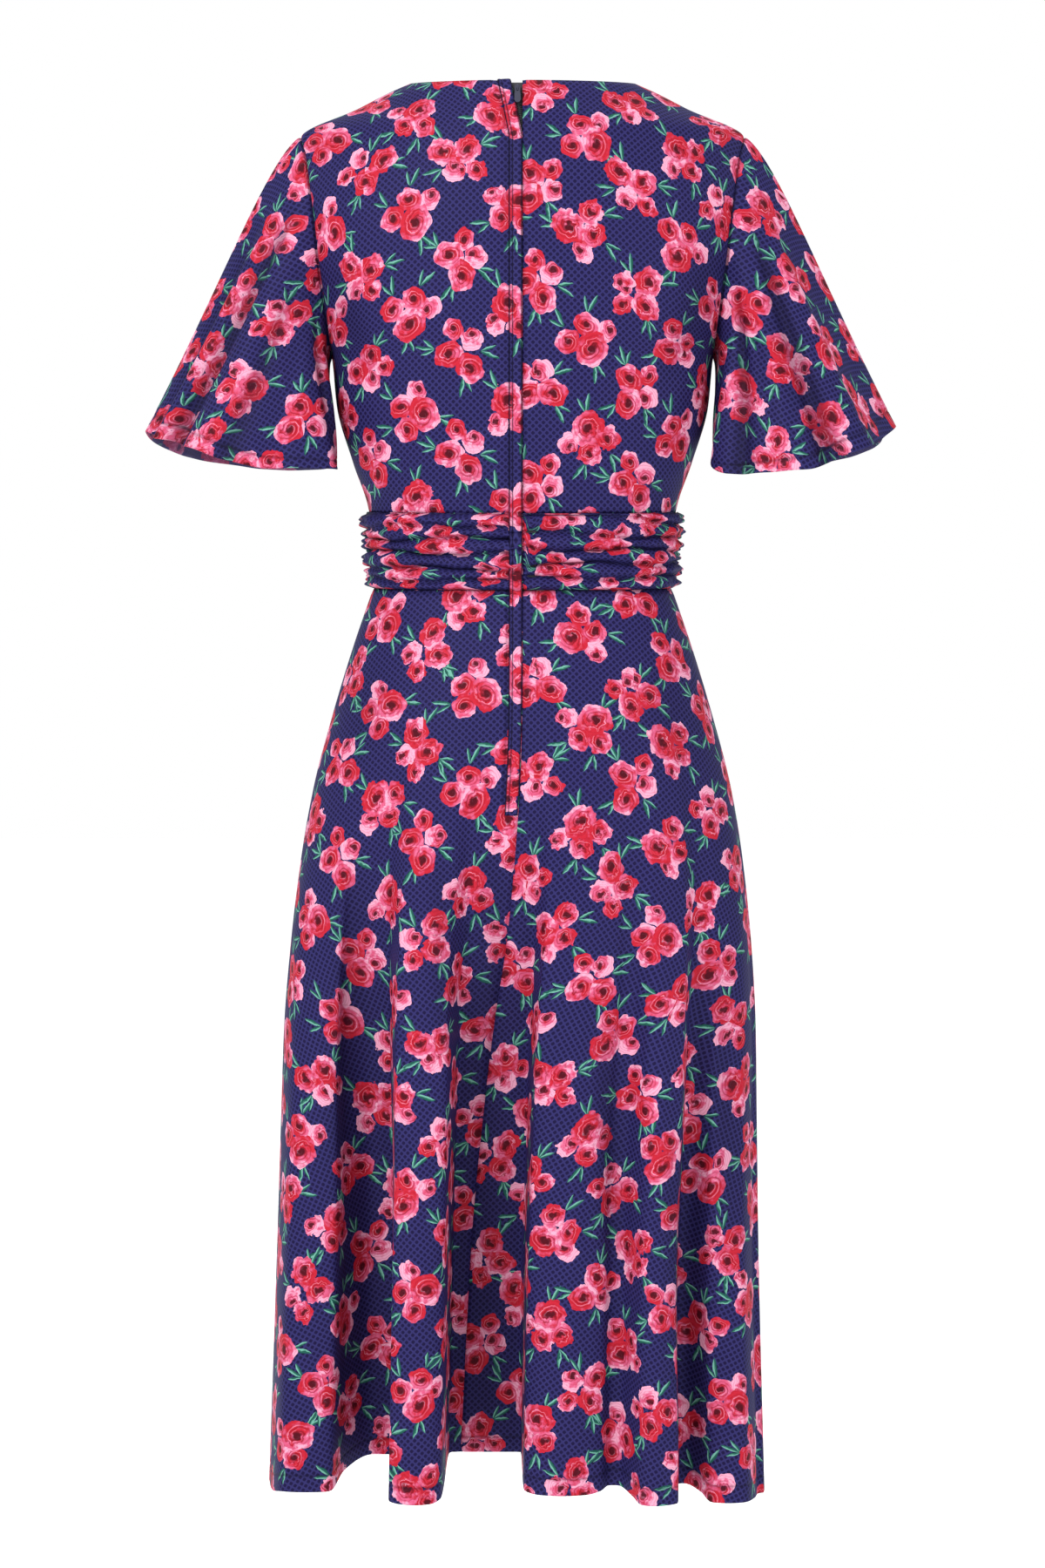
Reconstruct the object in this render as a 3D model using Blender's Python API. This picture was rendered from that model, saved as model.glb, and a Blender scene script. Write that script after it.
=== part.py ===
"""Tea dress, filled out as if worn, with nobody in it.

Metres, +Z up, +X to the wearer's right, +Y to the wearer's front, so the zip is at the back, on -Y.
The origin is midway between the two side neck points, where the shoulders carry the dress.

Every cloth piece is a wall between an outer grid of points and the same grid moved in by the cloth's
thickness. Rows of a grid run round the body and columns run down the cloth.
"""
import math

import bmesh
import bpy
import numpy as np

MM = 0.001

# Cloth and seams
CLOTH = 2.0 * MM
SEAM_GAP = 0.3 * MM
ARMHOLE_GAP = 0.5 * MM

# Heights of the main seams
UNDERARM = -0.225
BAND_TOP = -0.351
BAND_FOOT = -0.413
ZIP_FOOT = -0.597
HEM = -1.150

# Neck and shoulder
SIDE_NECK = 0.092
SHOULDER_HEIGHT = -0.043
BACK_NECK_HEIGHT = -0.004
V_NECK_HEIGHT = -0.165

# Bodice sections, top to bottom: height, half width, depth to the back, depth to the front, squareness
# at the middle and at the side, where less than 2 is pointed, as at the shoulder seam
TORSO = np.array((
    (0.000, 0.092, 0.072, 0.066, 2.0, 1.90),
    (-0.008, 0.111, 0.078, 0.071, 2.0, 1.60),
    (-0.020, 0.135, 0.085, 0.078, 2.0, 1.35),
    (-0.043, 0.183, 0.095, 0.088, 2.1, 1.15),
    (-0.060, 0.186, 0.099, 0.094, 2.1, 1.35),
    (-0.090, 0.187, 0.103, 0.102, 2.2, 1.80),
    (-0.130, 0.182, 0.106, 0.111, 2.3, 2.20),
    (-0.170, 0.172, 0.106, 0.120, 2.4, 2.40),
    (-0.200, 0.164, 0.105, 0.125, 2.5, 2.50),
    (-0.225, 0.157, 0.103, 0.127, 2.5, 2.50),
    (-0.265, 0.153, 0.099, 0.123, 2.5, 2.50),
    (-0.310, 0.140, 0.093, 0.109, 2.5, 2.45),
    (-0.351, 0.127, 0.087, 0.098, 2.4, 2.40),
    (-0.413, 0.1225, 0.086, 0.095, 2.4, 2.40),
))

# Armhole seam, underarm to shoulder: height, distance from the middle of the body
ARMHOLE = np.array((
    (-0.225, 0.157),
    (-0.188, 0.161),
    (-0.150, 0.166),
    (-0.112, 0.170),
    (-0.085, 0.174),
    (-0.060, 0.178),
    (-0.050, 0.181),
    (-0.043, 0.183),
))

# Skirt sections, waist to hem: height, half width, depth to the back, to the front, squareness,
# and how far the hem's folds have formed
SKIRT = np.array((
    (-0.413, 0.1235, 0.086, 0.095, 2.40, 0.00),
    (-0.460, 0.1400, 0.100, 0.108, 2.35, 0.00),
    (-0.518, 0.1580, 0.113, 0.118, 2.30, 0.01),
    (-0.576, 0.1735, 0.121, 0.124, 2.25, 0.05),
    (-0.635, 0.1840, 0.124, 0.126, 2.20, 0.13),
    (-0.708, 0.1925, 0.124, 0.126, 2.15, 0.27),
    (-0.771, 0.1970, 0.123, 0.125, 2.10, 0.45),
    (-0.845, 0.1990, 0.122, 0.124, 2.10, 0.62),
    (-0.958, 0.2020, 0.121, 0.122, 2.10, 0.82),
    (-1.150, 0.2085, 0.120, 0.120, 2.10, 1.00),
))

# Folds of the hem from the wearer's left to right: left edge, right edge, how crisp each edge is (0 to
# 1), distance of the crest from the middle plane, height of the crest's hem, then the valley on its
# right: place, half width, distance from the middle plane, height of its hem
BACK_FOLDS = (
    (-0.208, -0.147, 0.30, 0.40, 0.092, -1.152, -0.117, 0.008, 0.028, -1.136),
    (-0.109, -0.066, 0.90, 0.85, 0.134, -1.152, -0.031, 0.029, 0.028, -1.134),
    (0.001, 0.064, 0.85, 0.50, 0.124, -1.147, 0.074, 0.003, 0.104, -1.143),
    (0.089, 0.126, 0.50, 0.85, 0.141, -1.151, 0.131, 0.002, 0.074, -1.149),
    (0.146, 0.191, 0.40, 0.50, 0.100, -1.159, 0.198, 0.001, 0.055, -1.162),
)
FRONT_FOLDS = (
    (-0.203, -0.150, 0.40, 0.60, 0.090, -1.158, -0.138, 0.006, 0.040, -1.142),
    (-0.124, -0.074, 0.80, 0.70, 0.142, -1.152, -0.058, 0.010, 0.044, -1.139),
    (-0.034, 0.020, 0.50, 0.60, 0.150, -1.149, 0.034, 0.008, 0.062, -1.139),
    (0.050, 0.094, 0.60, 0.80, 0.142, -1.150, 0.112, 0.012, 0.040, -1.140),
    (0.136, 0.188, 0.70, 0.40, 0.104, -1.157, 0.196, 0.001, 0.054, -1.161),
)
HEM_SIDE_LEFT = -0.214
HEM_SIDE_RIGHT = 0.204
HEM_SIDE_HEIGHT = -1.163
CENTRE_BACK_AT_HEM = -0.051

# Sleeve hem seen from above, round from the outer tip by the back to the inner side and the front:
# turn in degrees, reach from the sleeve's middle, height
SLEEVE_MIDDLE = 0.232
RIGHT_SLEEVE_HEM = (
    (0, 0.077, -0.280), (22, 0.070, -0.289), (42, 0.074, -0.295), (60, 0.083, -0.300),
    (74, 0.078, -0.307), (92, 0.091, -0.316), (112, 0.092, -0.318), (134, 0.096, -0.319),
    (156, 0.086, -0.306), (180, 0.073, -0.298), (204, 0.079, -0.308), (228, 0.091, -0.316),
    (248, 0.086, -0.315), (270, 0.092, -0.314), (292, 0.080, -0.308), (318, 0.083, -0.298),
    (340, 0.072, -0.288), (360, 0.077, -0.280),
)
LEFT_SLEEVE_HEM = (
    (0, 0.080, -0.284), (18, 0.074, -0.287), (30, 0.080, -0.290), (42, 0.067, -0.293),
    (62, 0.083, -0.298), (84, 0.091, -0.307), (108, 0.091, -0.315), (140, 0.109, -0.315),
    (160, 0.082, -0.310), (180, 0.073, -0.302), (202, 0.078, -0.309), (224, 0.090, -0.315),
    (246, 0.093, -0.316), (268, 0.084, -0.313), (290, 0.089, -0.309), (316, 0.078, -0.302),
    (340, 0.080, -0.293), (360, 0.080, -0.284),
)

# Gathered midriff band
BAND_PLEATS = 5
PLEAT_CREST = 3.6 * MM
PLEAT_VALLEY = 1.2 * MM
GATHER_AT_SIDES = 2.0 * MM

# Zip
ZIP_OPENING = 10.0 * MM
ZIP_OPENING_FOOT = -0.050
LAP_WIDTH = 11.0 * MM
LAP_THICK = 1.0 * MM
TAPE_WIDTH = 22.0 * MM
TAPE_THICK = 1.0 * MM
TAPE_CLEAR = 1.2 * MM
SLIDER_HEIGHT = -0.012
SLIDER_X = -4.0 * MM
SLIDER_WIDE, SLIDER_TALL, SLIDER_THICK = 4.6 * MM, 8.0 * MM, 3.2 * MM
BRIDGE_WIDE, BRIDGE_BAR = 0.9 * MM, 0.7 * MM
BRIDGE_REACH, BRIDGE_HALF = 2.7 * MM, 2.9 * MM
PULL_AXIS_OUT = 1.0 * MM
PULL_THICK = 1.0 * MM

# Grid sizes
BODICE_ROWS_BELOW_ARM = 5
BODICE_ROWS_AT_ARM = 11
BODICE_COLUMNS = 9
NECK_COLUMNS = 5
BAND_COLUMNS = 10
SKIRT_ROWS = (0.0, 0.09, 0.19, 0.29, 0.39, 0.49, 0.60, 0.73, 0.87, 1.0)
SKIRT_LEFT_COLUMNS, SKIRT_RIGHT_COLUMNS, SKIRT_FRONT_COLUMNS = 20, 22, 36
SLEEVE_ROWS = 7

# Colours: red, green, blue, roughness, metallic
NAVY_PRINT = (0.050, 0.040, 0.180, 0.55, 0.0)
BLACK_TAPE = (0.010, 0.010, 0.014, 0.80, 0.0)
DARK_METAL = (0.060, 0.060, 0.090, 0.35, 0.9)


def smooth(at, knots, values):
    """A smooth curve through the knots that never overshoots them."""
    knots = np.asarray(knots, dtype=float)
    values = np.asarray(values, dtype=float)
    step = np.diff(knots)
    rise = np.diff(values) / step
    slope = np.zeros_like(values)
    slope[0], slope[-1] = rise[0], rise[-1]
    product = rise[:-1] * rise[1:]
    total = np.where(np.abs(rise[:-1] + rise[1:]) < 1e-12, 1.0, rise[:-1] + rise[1:])
    slope[1:-1] = np.where(product > 0.0, 2.0 * product / total, 0.0)
    at = np.clip(at, knots[0], knots[-1])
    i = np.clip(np.searchsorted(knots, at, side="right") - 1, 0, len(step) - 1)
    t = (at - knots[i]) / step[i]
    return (values[i] * (1 + 2 * t) * (1 - t) ** 2 + slope[i] * step[i] * t * (1 - t) ** 2
            + values[i + 1] * t ** 2 * (3 - 2 * t) + slope[i + 1] * step[i] * t ** 2 * (t - 1))


def by_height(table, column, height):
    """One column of a section table that runs down from its highest row."""
    return smooth(-np.asarray(height, dtype=float), -table[:, 0], table[:, column])


def along(points):
    """Distance run along a line of points, starting at 0."""
    steps = np.linalg.norm(np.diff(points, axis=0), axis=1)
    return np.concatenate(((0.0,), np.cumsum(steps)))


def unit(vectors):
    return vectors / np.maximum(np.linalg.norm(vectors, axis=-1, keepdims=True), 1e-12)


def torso_y(x, z, front):
    """Where the bodice's section at height z lies, for a distance x from the middle plane."""
    half = by_height(TORSO, 1, z)
    depth = by_height(TORSO, 3 if front else 2, z)
    share = np.clip(np.abs(x) / half, 0.0, 1.0)
    y = depth * (1.0 - share ** by_height(TORSO, 4, z)) ** (1.0 / by_height(TORSO, 5, z))
    return y if front else -y


def onto_torso(points, front):
    """Moves points at their own heights out or in to the bodice's sections."""
    x, y, z = points[..., 0], points[..., 1], points[..., 2]
    half = by_height(TORSO, 1, z)
    depth = by_height(TORSO, 3 if front else 2, z)
    middle, edge = by_height(TORSO, 4, z), by_height(TORSO, 5, z)
    turn = np.arctan2((np.abs(x) / half) ** (middle / 2), (np.abs(y) / depth) ** (edge / 2))
    side = half * np.sin(turn) ** (2 / middle)
    back = depth * np.maximum(np.cos(turn), 0.0) ** (2 / edge)
    return np.stack((side, back if front else -back, z), axis=-1)


def half_bodice(front):
    """The wearer's right half of the front or back bodice, rows from the waist up."""
    rows = BODICE_ROWS_BELOW_ARM + BODICE_ROWS_AT_ARM
    u = np.linspace(0.0, 1.0, BODICE_COLUMNS + 1)
    v = np.linspace(0.0, 1.0, rows + 1)

    turn = u * math.pi / 2
    square = by_height(TORSO, 4, BAND_TOP)
    waist_x = by_height(TORSO, 1, BAND_TOP) * np.sin(turn) ** (2 / square)
    waist = np.stack((waist_x, torso_y(waist_x, BAND_TOP + 0 * u, front), BAND_TOP + 0 * u), axis=-1)

    side_z = np.linspace(BAND_TOP, UNDERARM, BODICE_ROWS_BELOW_ARM + 1)
    side_x = by_height(TORSO, 1, side_z)
    arm_z = np.linspace(UNDERARM, SHOULDER_HEIGHT, BODICE_ROWS_AT_ARM + 1)[1:]
    arm_x = smooth(arm_z, ARMHOLE[:, 0], ARMHOLE[:, 1])
    edge_z = np.concatenate((side_z, arm_z))
    edge_x = np.concatenate((side_x, arm_x))
    edge_y = np.concatenate((0 * side_z, torso_y(arm_x, arm_z, front)))
    edge = np.stack((edge_x, edge_y, edge_z), axis=-1)

    neck_share = NECK_COLUMNS / BODICE_COLUMNS
    neck_u = np.clip(u / neck_share, 0.0, 1.0)
    if front:
        neck_z = V_NECK_HEIGHT * (1.0 - neck_u)
        neck_x = SIDE_NECK * neck_u
    else:
        neck_z = BACK_NECK_HEIGHT * (1.0 - neck_u ** 2)
        neck_x = by_height(TORSO, 1, neck_z) * np.sin(neck_u * math.pi / 2)
    down = np.clip((u - neck_share) / (1.0 - neck_share), 0.0, 1.0)
    top_z = neck_z + SHOULDER_HEIGHT * down
    top_x = np.where(down > 0.0, by_height(TORSO, 1, top_z), neck_x)
    top_y = np.where(neck_u < 1.0, torso_y(top_x, top_z, front), 0.0)
    top = np.stack((top_x, top_y, top_z), axis=-1)

    middle_z = np.linspace(BAND_TOP, top_z[0], rows + 1)
    middle = np.stack((0 * v, torso_y(0 * v, middle_z, front), middle_z), axis=-1)

    a, b = u[None, :, None], v[:, None, None]
    grid = (1 - b) * waist[None] + b * top[None] + (1 - a) * middle[:, None] + a * edge[:, None]
    grid -= (1 - a) * (1 - b) * waist[0] + a * (1 - b) * waist[-1]
    grid -= (1 - a) * b * top[0] + a * b * top[-1]
    grid[1:-1, 1:-1] = onto_torso(grid[1:-1, 1:-1], front)
    return grid


def mirrored(grid):
    """The other side of the body, with columns in the same left-to-right order."""
    return grid[:, ::-1] * np.array((-1.0, 1.0, 1.0))


def outward(grid, ring=False):
    """Unit normals of a grid, away from the body when rows run from left to right over the back."""
    if ring:
        across = np.roll(grid, -1, axis=1) - np.roll(grid, 1, axis=1)
    else:
        across = np.gradient(grid, axis=1)
    up = np.gradient(grid, axis=0)
    return unit(np.cross(across, up))


def flat_at(normals, rows, columns, axis):
    """Turns the normals on a seam into the seam's own plane, so both pieces end face to face."""
    normals[rows, columns, axis] = 0.0
    normals[rows, columns] = unit(normals[rows, columns])


def drawn_back(outer, inner, edges, gap=SEAM_GAP / 2):
    """Pulls the named edges of a wall back along the cloth, to leave a gap at the seams."""
    outer, inner = outer.copy(), inner.copy()
    for edge in edges:
        end, beside = {
            "bottom": ((0,), (1,)), "top": ((-1,), (-2,)),
            "left": ((slice(None), 0), (slice(None), 1)),
            "right": ((slice(None), -1), (slice(None), -2)),
        }[edge]
        step = gap * unit(outer[beside] - outer[end])
        outer[end] += step
        inner[end] += step
    return outer, inner


def material(name, colour):
    red, green, blue, roughness, metallic = colour
    made = bpy.data.materials.new(name)
    made.use_nodes = True
    shader = made.node_tree.nodes["Principled BSDF"]
    shader.inputs["Base Color"].default_value = (red, green, blue, 1.0)
    shader.inputs["Roughness"].default_value = roughness
    shader.inputs["Metallic"].default_value = metallic
    return made


def add_object(name, mesh, colour):
    mesh.materials.append(material(name + "_finish", colour))
    made = bpy.data.objects.new(name, mesh)
    bpy.context.scene.collection.objects.link(made)
    return made


def wall(name, outer, inner, ring=False, colour=NAVY_PRINT):
    """A closed solid between two grids, smooth shaded; a ring joins its last column to its first."""
    rows, columns = outer.shape[:2]
    shape = bmesh.new()
    out, into = [[[shape.verts.new(point) for point in row] for row in grid] for grid in (outer, inner)]
    last = columns if ring else columns - 1
    for r in range(rows - 1):
        for c in range(last):
            d = (c + 1) % columns
            shape.faces.new((out[r][c], out[r][d], out[r + 1][d], out[r + 1][c]))
            shape.faces.new((into[r][c], into[r + 1][c], into[r + 1][d], into[r][d]))
    for r in (0, rows - 1):
        for c in range(last):
            d = (c + 1) % columns
            shape.faces.new((out[r][c], into[r][c], into[r][d], out[r][d]))
    if not ring:
        for c in (0, columns - 1):
            for r in range(rows - 1):
                shape.faces.new((out[r][c], out[r + 1][c], into[r + 1][c], into[r][c]))
    bmesh.ops.recalc_face_normals(shape, faces=shape.faces)
    mesh = bpy.data.meshes.new(name)
    shape.to_mesh(mesh)
    shape.free()
    mesh.shade_smooth()
    mesh.set_sharp_from_angle(angle=math.radians(50))
    return add_object(name, mesh, colour)


def open_left_edge(x, z):
    """How far the wearer's-left back edge leans away at the top, where the zip stands open."""
    lean = ZIP_OPENING * np.clip(1.0 - z / ZIP_OPENING_FOOT, 0.0, 1.0)
    return -lean * np.clip(1.0 - np.abs(x) / 0.06, 0.0, 1.0)


def build_bodice():
    """Front and two backs. Returns the armhole edges and the stations along the zip."""
    back = half_bodice(front=False)
    left = mirrored(back)
    left[..., 0] += open_left_edge(left[..., 0], left[..., 2])
    normals = {"right": outward(back), "left": outward(left)}
    shoulder_columns = BODICE_COLUMNS - NECK_COLUMNS + 1
    below = slice(0, BODICE_ROWS_BELOW_ARM + 1)
    for side, seam, middle, shoulder in (("right", -1, 0, slice(-shoulder_columns, None)),
                                         ("left", 0, -1, slice(None, shoulder_columns))):
        flat_at(normals[side], below, seam, 1)
        flat_at(normals[side], slice(None), middle, 0)
        flat_at(normals[side], 0, slice(None), 2)
        flat_at(normals[side], -1, shoulder, 1)

    front_half = half_bodice(front=True)
    front = np.concatenate((front_half[:, ::-1], mirrored(front_half)[:, ::-1][:, 1:]), axis=1)
    front_normals = outward(front)
    for seam in (0, -1):
        flat_at(front_normals, below, seam, 1)
    flat_at(front_normals, 0, slice(None), 2)
    flat_at(front_normals, -1, slice(None, shoulder_columns), 1)
    flat_at(front_normals, -1, slice(-shoulder_columns, None), 1)

    pieces = (
        ("bodice_back_right", back, normals["right"], ("bottom", "left", "right", "top")),
        ("bodice_back_left", left, normals["left"], ("bottom", "left", "right", "top")),
        ("bodice_front", front, front_normals, ("bottom", "left", "right", "top")),
    )
    for name, grid, normal, edges in pieces:
        outer, inner = drawn_back(grid, grid - CLOTH * normal, edges)
        wall(name, outer, inner)

    arm = slice(BODICE_ROWS_BELOW_ARM, None)
    armholes = {}
    for side, back_grid, back_n, column in (("right", back, normals["right"], -1),
                                            ("left", left, normals["left"], 0)):
        front_column = 0 if side == "right" else -1
        inner_back = -2 if side == "right" else 1
        inner_front = 1 if side == "right" else -2
        down_back = back_grid[arm, column][::-1]
        up_front = front[arm, front_column][1:-1]
        edge = np.concatenate((down_back, up_front))
        normal = np.concatenate((back_n[arm, column][::-1], front_normals[arm, front_column][1:-1]))
        beside = np.concatenate((back_grid[arm, inner_back][::-1], front[arm, inner_front][1:-1]))
        away = edge - beside
        away -= normal * np.sum(away * normal, axis=1, keepdims=True)
        armholes[side] = (edge, normal, unit(away))
    return armholes, (left[::-1, -1], normals["left"][::-1, -1])


def build_sleeve(side, armhole, hem_table):
    """A flared sleeve from the armhole to its waved hem, joined under the arm."""
    edge, body_normal, away = armhole
    mirror = 1.0 if side == "right" else -1.0
    hem_table = np.array(hem_table, dtype=float)
    loop = along(np.vstack((edge, edge[:1])))
    under = int(np.argmin(edge[:, 2]))
    halfway = loop[under]
    turn = np.where(loop[:-1] <= halfway, 180.0 * loop[:-1] / halfway,
                    180.0 + 180.0 * (loop[:-1] - halfway) / (loop[-1] - halfway))
    reach = smooth(turn, hem_table[:, 0], hem_table[:, 1])
    angle = np.radians(turn)
    hem = np.stack((mirror * (SLEEVE_MIDDLE + reach * np.cos(angle)), -reach * np.sin(angle),
                    smooth(turn, hem_table[:, 0], hem_table[:, 2])), axis=-1)

    start = edge + ARMHOLE_GAP * unit(away + body_normal)
    chord = hem - start
    length = np.linalg.norm(chord, axis=1, keepdims=True)
    leave = unit(unit(chord) + 0.6 * body_normal)
    near = start + 0.12 * length * leave
    far = hem - 0.5 * chord
    t = np.linspace(1.0, 0.0, SLEEVE_ROWS + 1)[:, None, None]
    grid = ((1 - t) ** 3 * start + 3 * t * (1 - t) ** 2 * near + 3 * t ** 2 * (1 - t) * far + t ** 3 * hem)
    if side == "right":
        grid = grid[:, ::-1]
        away = away[::-1]
    normal = outward(grid, ring=True)
    into = -normal
    lean = np.minimum(np.sum(into[-1] * away, axis=1, keepdims=True), 0.0)
    into[-1] = unit(into[-1] - lean * away)
    wall("sleeve_" + side, grid, grid + CLOTH * into, ring=True)


def ring_section(half, depth_back, depth_front, square, share):
    """Points of a skirt section. share runs 0 to 0.5 over the back from the wearer's left side seam
    to the right one, and 0.5 to 1 over the front back to the left, evenly along each half."""
    fine = np.linspace(-math.pi / 2, math.pi / 2, 121)
    x = half * np.sign(fine) * np.abs(np.sin(fine)) ** (2 / square)
    bow = np.maximum(np.cos(fine), 0.0) ** (2 / square)
    back = np.stack((x, -depth_back * bow), axis=-1)
    front = np.stack((x[::-1], depth_front * bow), axis=-1)
    over_back = np.clip(share / 0.5, 0.0, 1.0)
    over_front = np.clip((share - 0.5) / 0.5, 0.0, 1.0)
    points = []
    for line, part in ((back, over_back), (front, over_front)):
        run = along(line)
        at = part * run[-1]
        points.append(np.stack([np.interp(at, run, line[:, k]) for k in (0, 1)], axis=-1))
    return np.where((share <= 0.5)[..., None], points[0], points[1])


def hem_points(folds, to_front):
    """The hem's line over one half, left to right: five points over each crest and two in each valley."""
    sign = 1.0 if to_front else -1.0
    points = [(HEM_SIDE_LEFT, 0.0, HEM_SIDE_HEIGHT)]
    before, before_z = 0.035, HEM_SIDE_HEIGHT
    for left, right, crisp_left, crisp_right, crest, crest_z, valley, half, depth, valley_z in folds:
        wide = right - left
        points += [
            (left, sign * (before + crisp_left * (crest - before)),
             before_z + crisp_left * (crest_z - before_z)),
            (left + 0.20 * wide, sign * 0.97 * crest, crest_z),
            (left + 0.50 * wide, sign * crest, crest_z),
            (right - 0.20 * wide, sign * 0.97 * crest, crest_z),
            (right, sign * (depth + crisp_right * (crest - depth)),
             valley_z + crisp_right * (crest_z - valley_z)),
            (valley - half, sign * depth, valley_z),
            (valley + half, sign * depth, valley_z),
        ]
        before, before_z = depth, valley_z
    points.append((HEM_SIDE_RIGHT, 0.0, HEM_SIDE_HEIGHT))
    return np.array(points)


def hem_half(folds, to_front, samples=400):
    """A fine hem line over one half, with the share of the unfolded skirt that each point belongs to."""
    points = hem_points(folds, to_front)
    run = along(points[:, :2])
    at = np.linspace(0.0, run[-1], samples)
    line = np.stack([smooth(at, run, points[:, k]) for k in range(3)], axis=-1)
    half, back, front, square = (by_height(SKIRT, k, HEM) for k in (1, 2, 3, 4))
    depth = front if to_front else -back
    plain = depth * (1.0 - np.clip(np.abs(line[:, 0]) / half, 0, 1) ** square) ** (1 / square)
    damped = np.stack((line[:, 0], 0.85 * plain + 0.15 * line[:, 1]), axis=-1)
    share = along(damped)
    return line, 0.5 * share / share[-1]


def skirt_grid():
    """The whole skirt as one ring, hem row first, and the columns where its panels start."""
    back_line, back_share = hem_half(BACK_FOLDS, to_front=False)
    front_line, front_share = hem_half(FRONT_FOLDS, to_front=True)
    front_line, front_share = front_line[::-1], 0.5 + (0.5 - front_share[::-1])
    line = np.concatenate((back_line, front_line[1:]))
    share = np.concatenate((back_share, front_share[1:]))
    run = along(line[:, :2])

    in_valley = (np.abs(back_line[:, 0] - CENTRE_BACK_AT_HEM) < 0.004) & (back_line[:, 1] > -0.04)
    centre = int(np.mean(np.nonzero(in_valley)[0]))
    stops = (0, centre, len(back_line) - 1, len(line) - 1)
    counts = (SKIRT_LEFT_COLUMNS, SKIRT_RIGHT_COLUMNS, SKIRT_FRONT_COLUMNS)
    at = np.concatenate([np.linspace(run[a], run[b], n, endpoint=False)
                         for a, b, n in zip(stops[:-1], stops[1:], counts)])
    column_share = np.interp(at, run, share)
    centre_share = share[centre]

    hem_section = [float(by_height(SKIRT, k, HEM)) for k in (1, 2, 3, 4)]
    rows = []
    for down in SKIRT_ROWS:
        z = BAND_FOOT + down * (HEM - BAND_FOOT)
        half, back, front, square, formed = (float(by_height(SKIRT, k, z)) for k in (1, 2, 3, 4, 5))
        loose = 1.0 - min(formed / 0.25, 1.0)
        reach = np.where(column_share < centre_share, 0.012 + 0.120 * loose, 0.064 + 0.080 * loose)
        near_centre = np.clip(1.0 - np.abs(column_share - centre_share) / reach, 0.0, 1.0)
        spot = column_share + (0.25 - centre_share) * (1.0 - formed) * near_centre
        hem = np.stack([np.interp(spot, share, line[:, k]) for k in range(3)], axis=-1)
        plain = ring_section(half, back, front, square, spot)
        folded = formed * (hem[:, :2] - ring_section(*hem_section, spot))
        height = BAND_FOOT + down * (hem[:, 2] - BAND_FOOT)
        rows.append(np.column_stack((plain + folded, height)))
    starts = np.cumsum((0,) + counts)
    return np.array(rows[::-1]), starts


def build_skirt():
    """Two back panels and a front. Returns the centre back edge below the waist and its normals."""
    grid, starts = skirt_grid()
    normal = outward(grid, ring=True)
    flat_at(normal, -1, slice(None), 2)
    grid = np.concatenate((grid, grid[:, :1]), axis=1)
    normal = np.concatenate((normal, normal[:, :1]), axis=1)
    names = ("skirt_back_left", "skirt_back_right", "skirt_front")
    for name, first, last in zip(names, starts[:-1], starts[1:]):
        part = slice(first, last + 1)
        outer, inner = drawn_back(grid[:, part], grid[:, part] - CLOTH * normal[:, part],
                                  ("top", "left", "right"))
        wall(name, outer, inner)
    return grid[::-1, starts[1]], normal[::-1, starts[1]]


def build_band():
    """The gathered midriff: level pleats that stand out from the waist. Returns its centre back edge."""
    rows = 2 * BAND_PLEATS + 1
    level = np.linspace(BAND_FOOT, BAND_TOP, rows)
    bulge = np.where(np.arange(rows) % 2 == 1, PLEAT_CREST, PLEAT_VALLEY)
    share = np.concatenate((np.linspace(0.0, 0.5, 2 * BAND_COLUMNS, endpoint=False),
                            np.linspace(0.5, 1.0, 2 * BAND_COLUMNS, endpoint=False)))
    grid = []
    for z, out in zip(level, bulge):
        half, back, front, square = (float(by_height(TORSO, k, z)) for k in (1, 2, 3, 4))
        flat = ring_section(half + out + GATHER_AT_SIDES, back + out, front + out, square, share)
        grid.append(np.column_stack((flat, np.full(len(share), z))))
    grid = np.array(grid)
    normal = outward(grid, ring=True)
    normal[..., 2] = 0.0
    normal = unit(normal)
    grid = np.concatenate((grid, grid[:, :1]), axis=1)
    normal = np.concatenate((normal, normal[:, :1]), axis=1)
    inner = grid - CLOTH * normal
    for name, first, last in (("band_back_left", 0, BAND_COLUMNS),
                              ("band_back_right", BAND_COLUMNS, 2 * BAND_COLUMNS),
                              ("band_front", 2 * BAND_COLUMNS, 4 * BAND_COLUMNS)):
        part = slice(first, last + 1)
        wall(name, *drawn_back(grid[:, part], inner[:, part], ("top", "bottom", "left", "right")))
    return grid[::-1, BAND_COLUMNS], normal[::-1, BAND_COLUMNS]


def strip(name, line, normal, left, right, near, far, colour):
    """A strip down the centre back: from left to right of the line, and from near to far along the
    cloth's outward normal."""
    sideways = np.array((1.0, 0.0, 0.0))
    columns = np.linspace(left, right, 3)
    grid = line[:, None] + columns[None, :, None] * sideways
    outer = grid + far * normal[:, None]
    inner = grid + near * normal[:, None]
    wall(name, outer[::-1], inner[::-1], colour=colour)


def zip_line(bodice, band, skirt, over_band):
    """Points and normals down the centre back to the foot of the zip. At the waist seams the line
    keeps the band's edge rows if it runs over the band, and the bodice's and skirt's if behind it."""
    top, middle, foot = bodice, band, skirt
    if over_band:
        top, foot = [part[:-1] for part in bodice], [part[1:] for part in skirt]
    else:
        middle = [part[1:-1] for part in band]
    line, normal = (np.vstack((top[k], middle[k], foot[k])) for k in (0, 1))
    after = int(np.argmax(line[:, 2] < ZIP_FOOT))
    share = (line[after - 1, 2] - ZIP_FOOT) / (line[after - 1, 2] - line[after, 2])
    end = line[after - 1] + share * (line[after] - line[after - 1])
    return np.vstack((line[:after], end)), np.vstack((normal[:after], normal[after - 1]))


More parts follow.
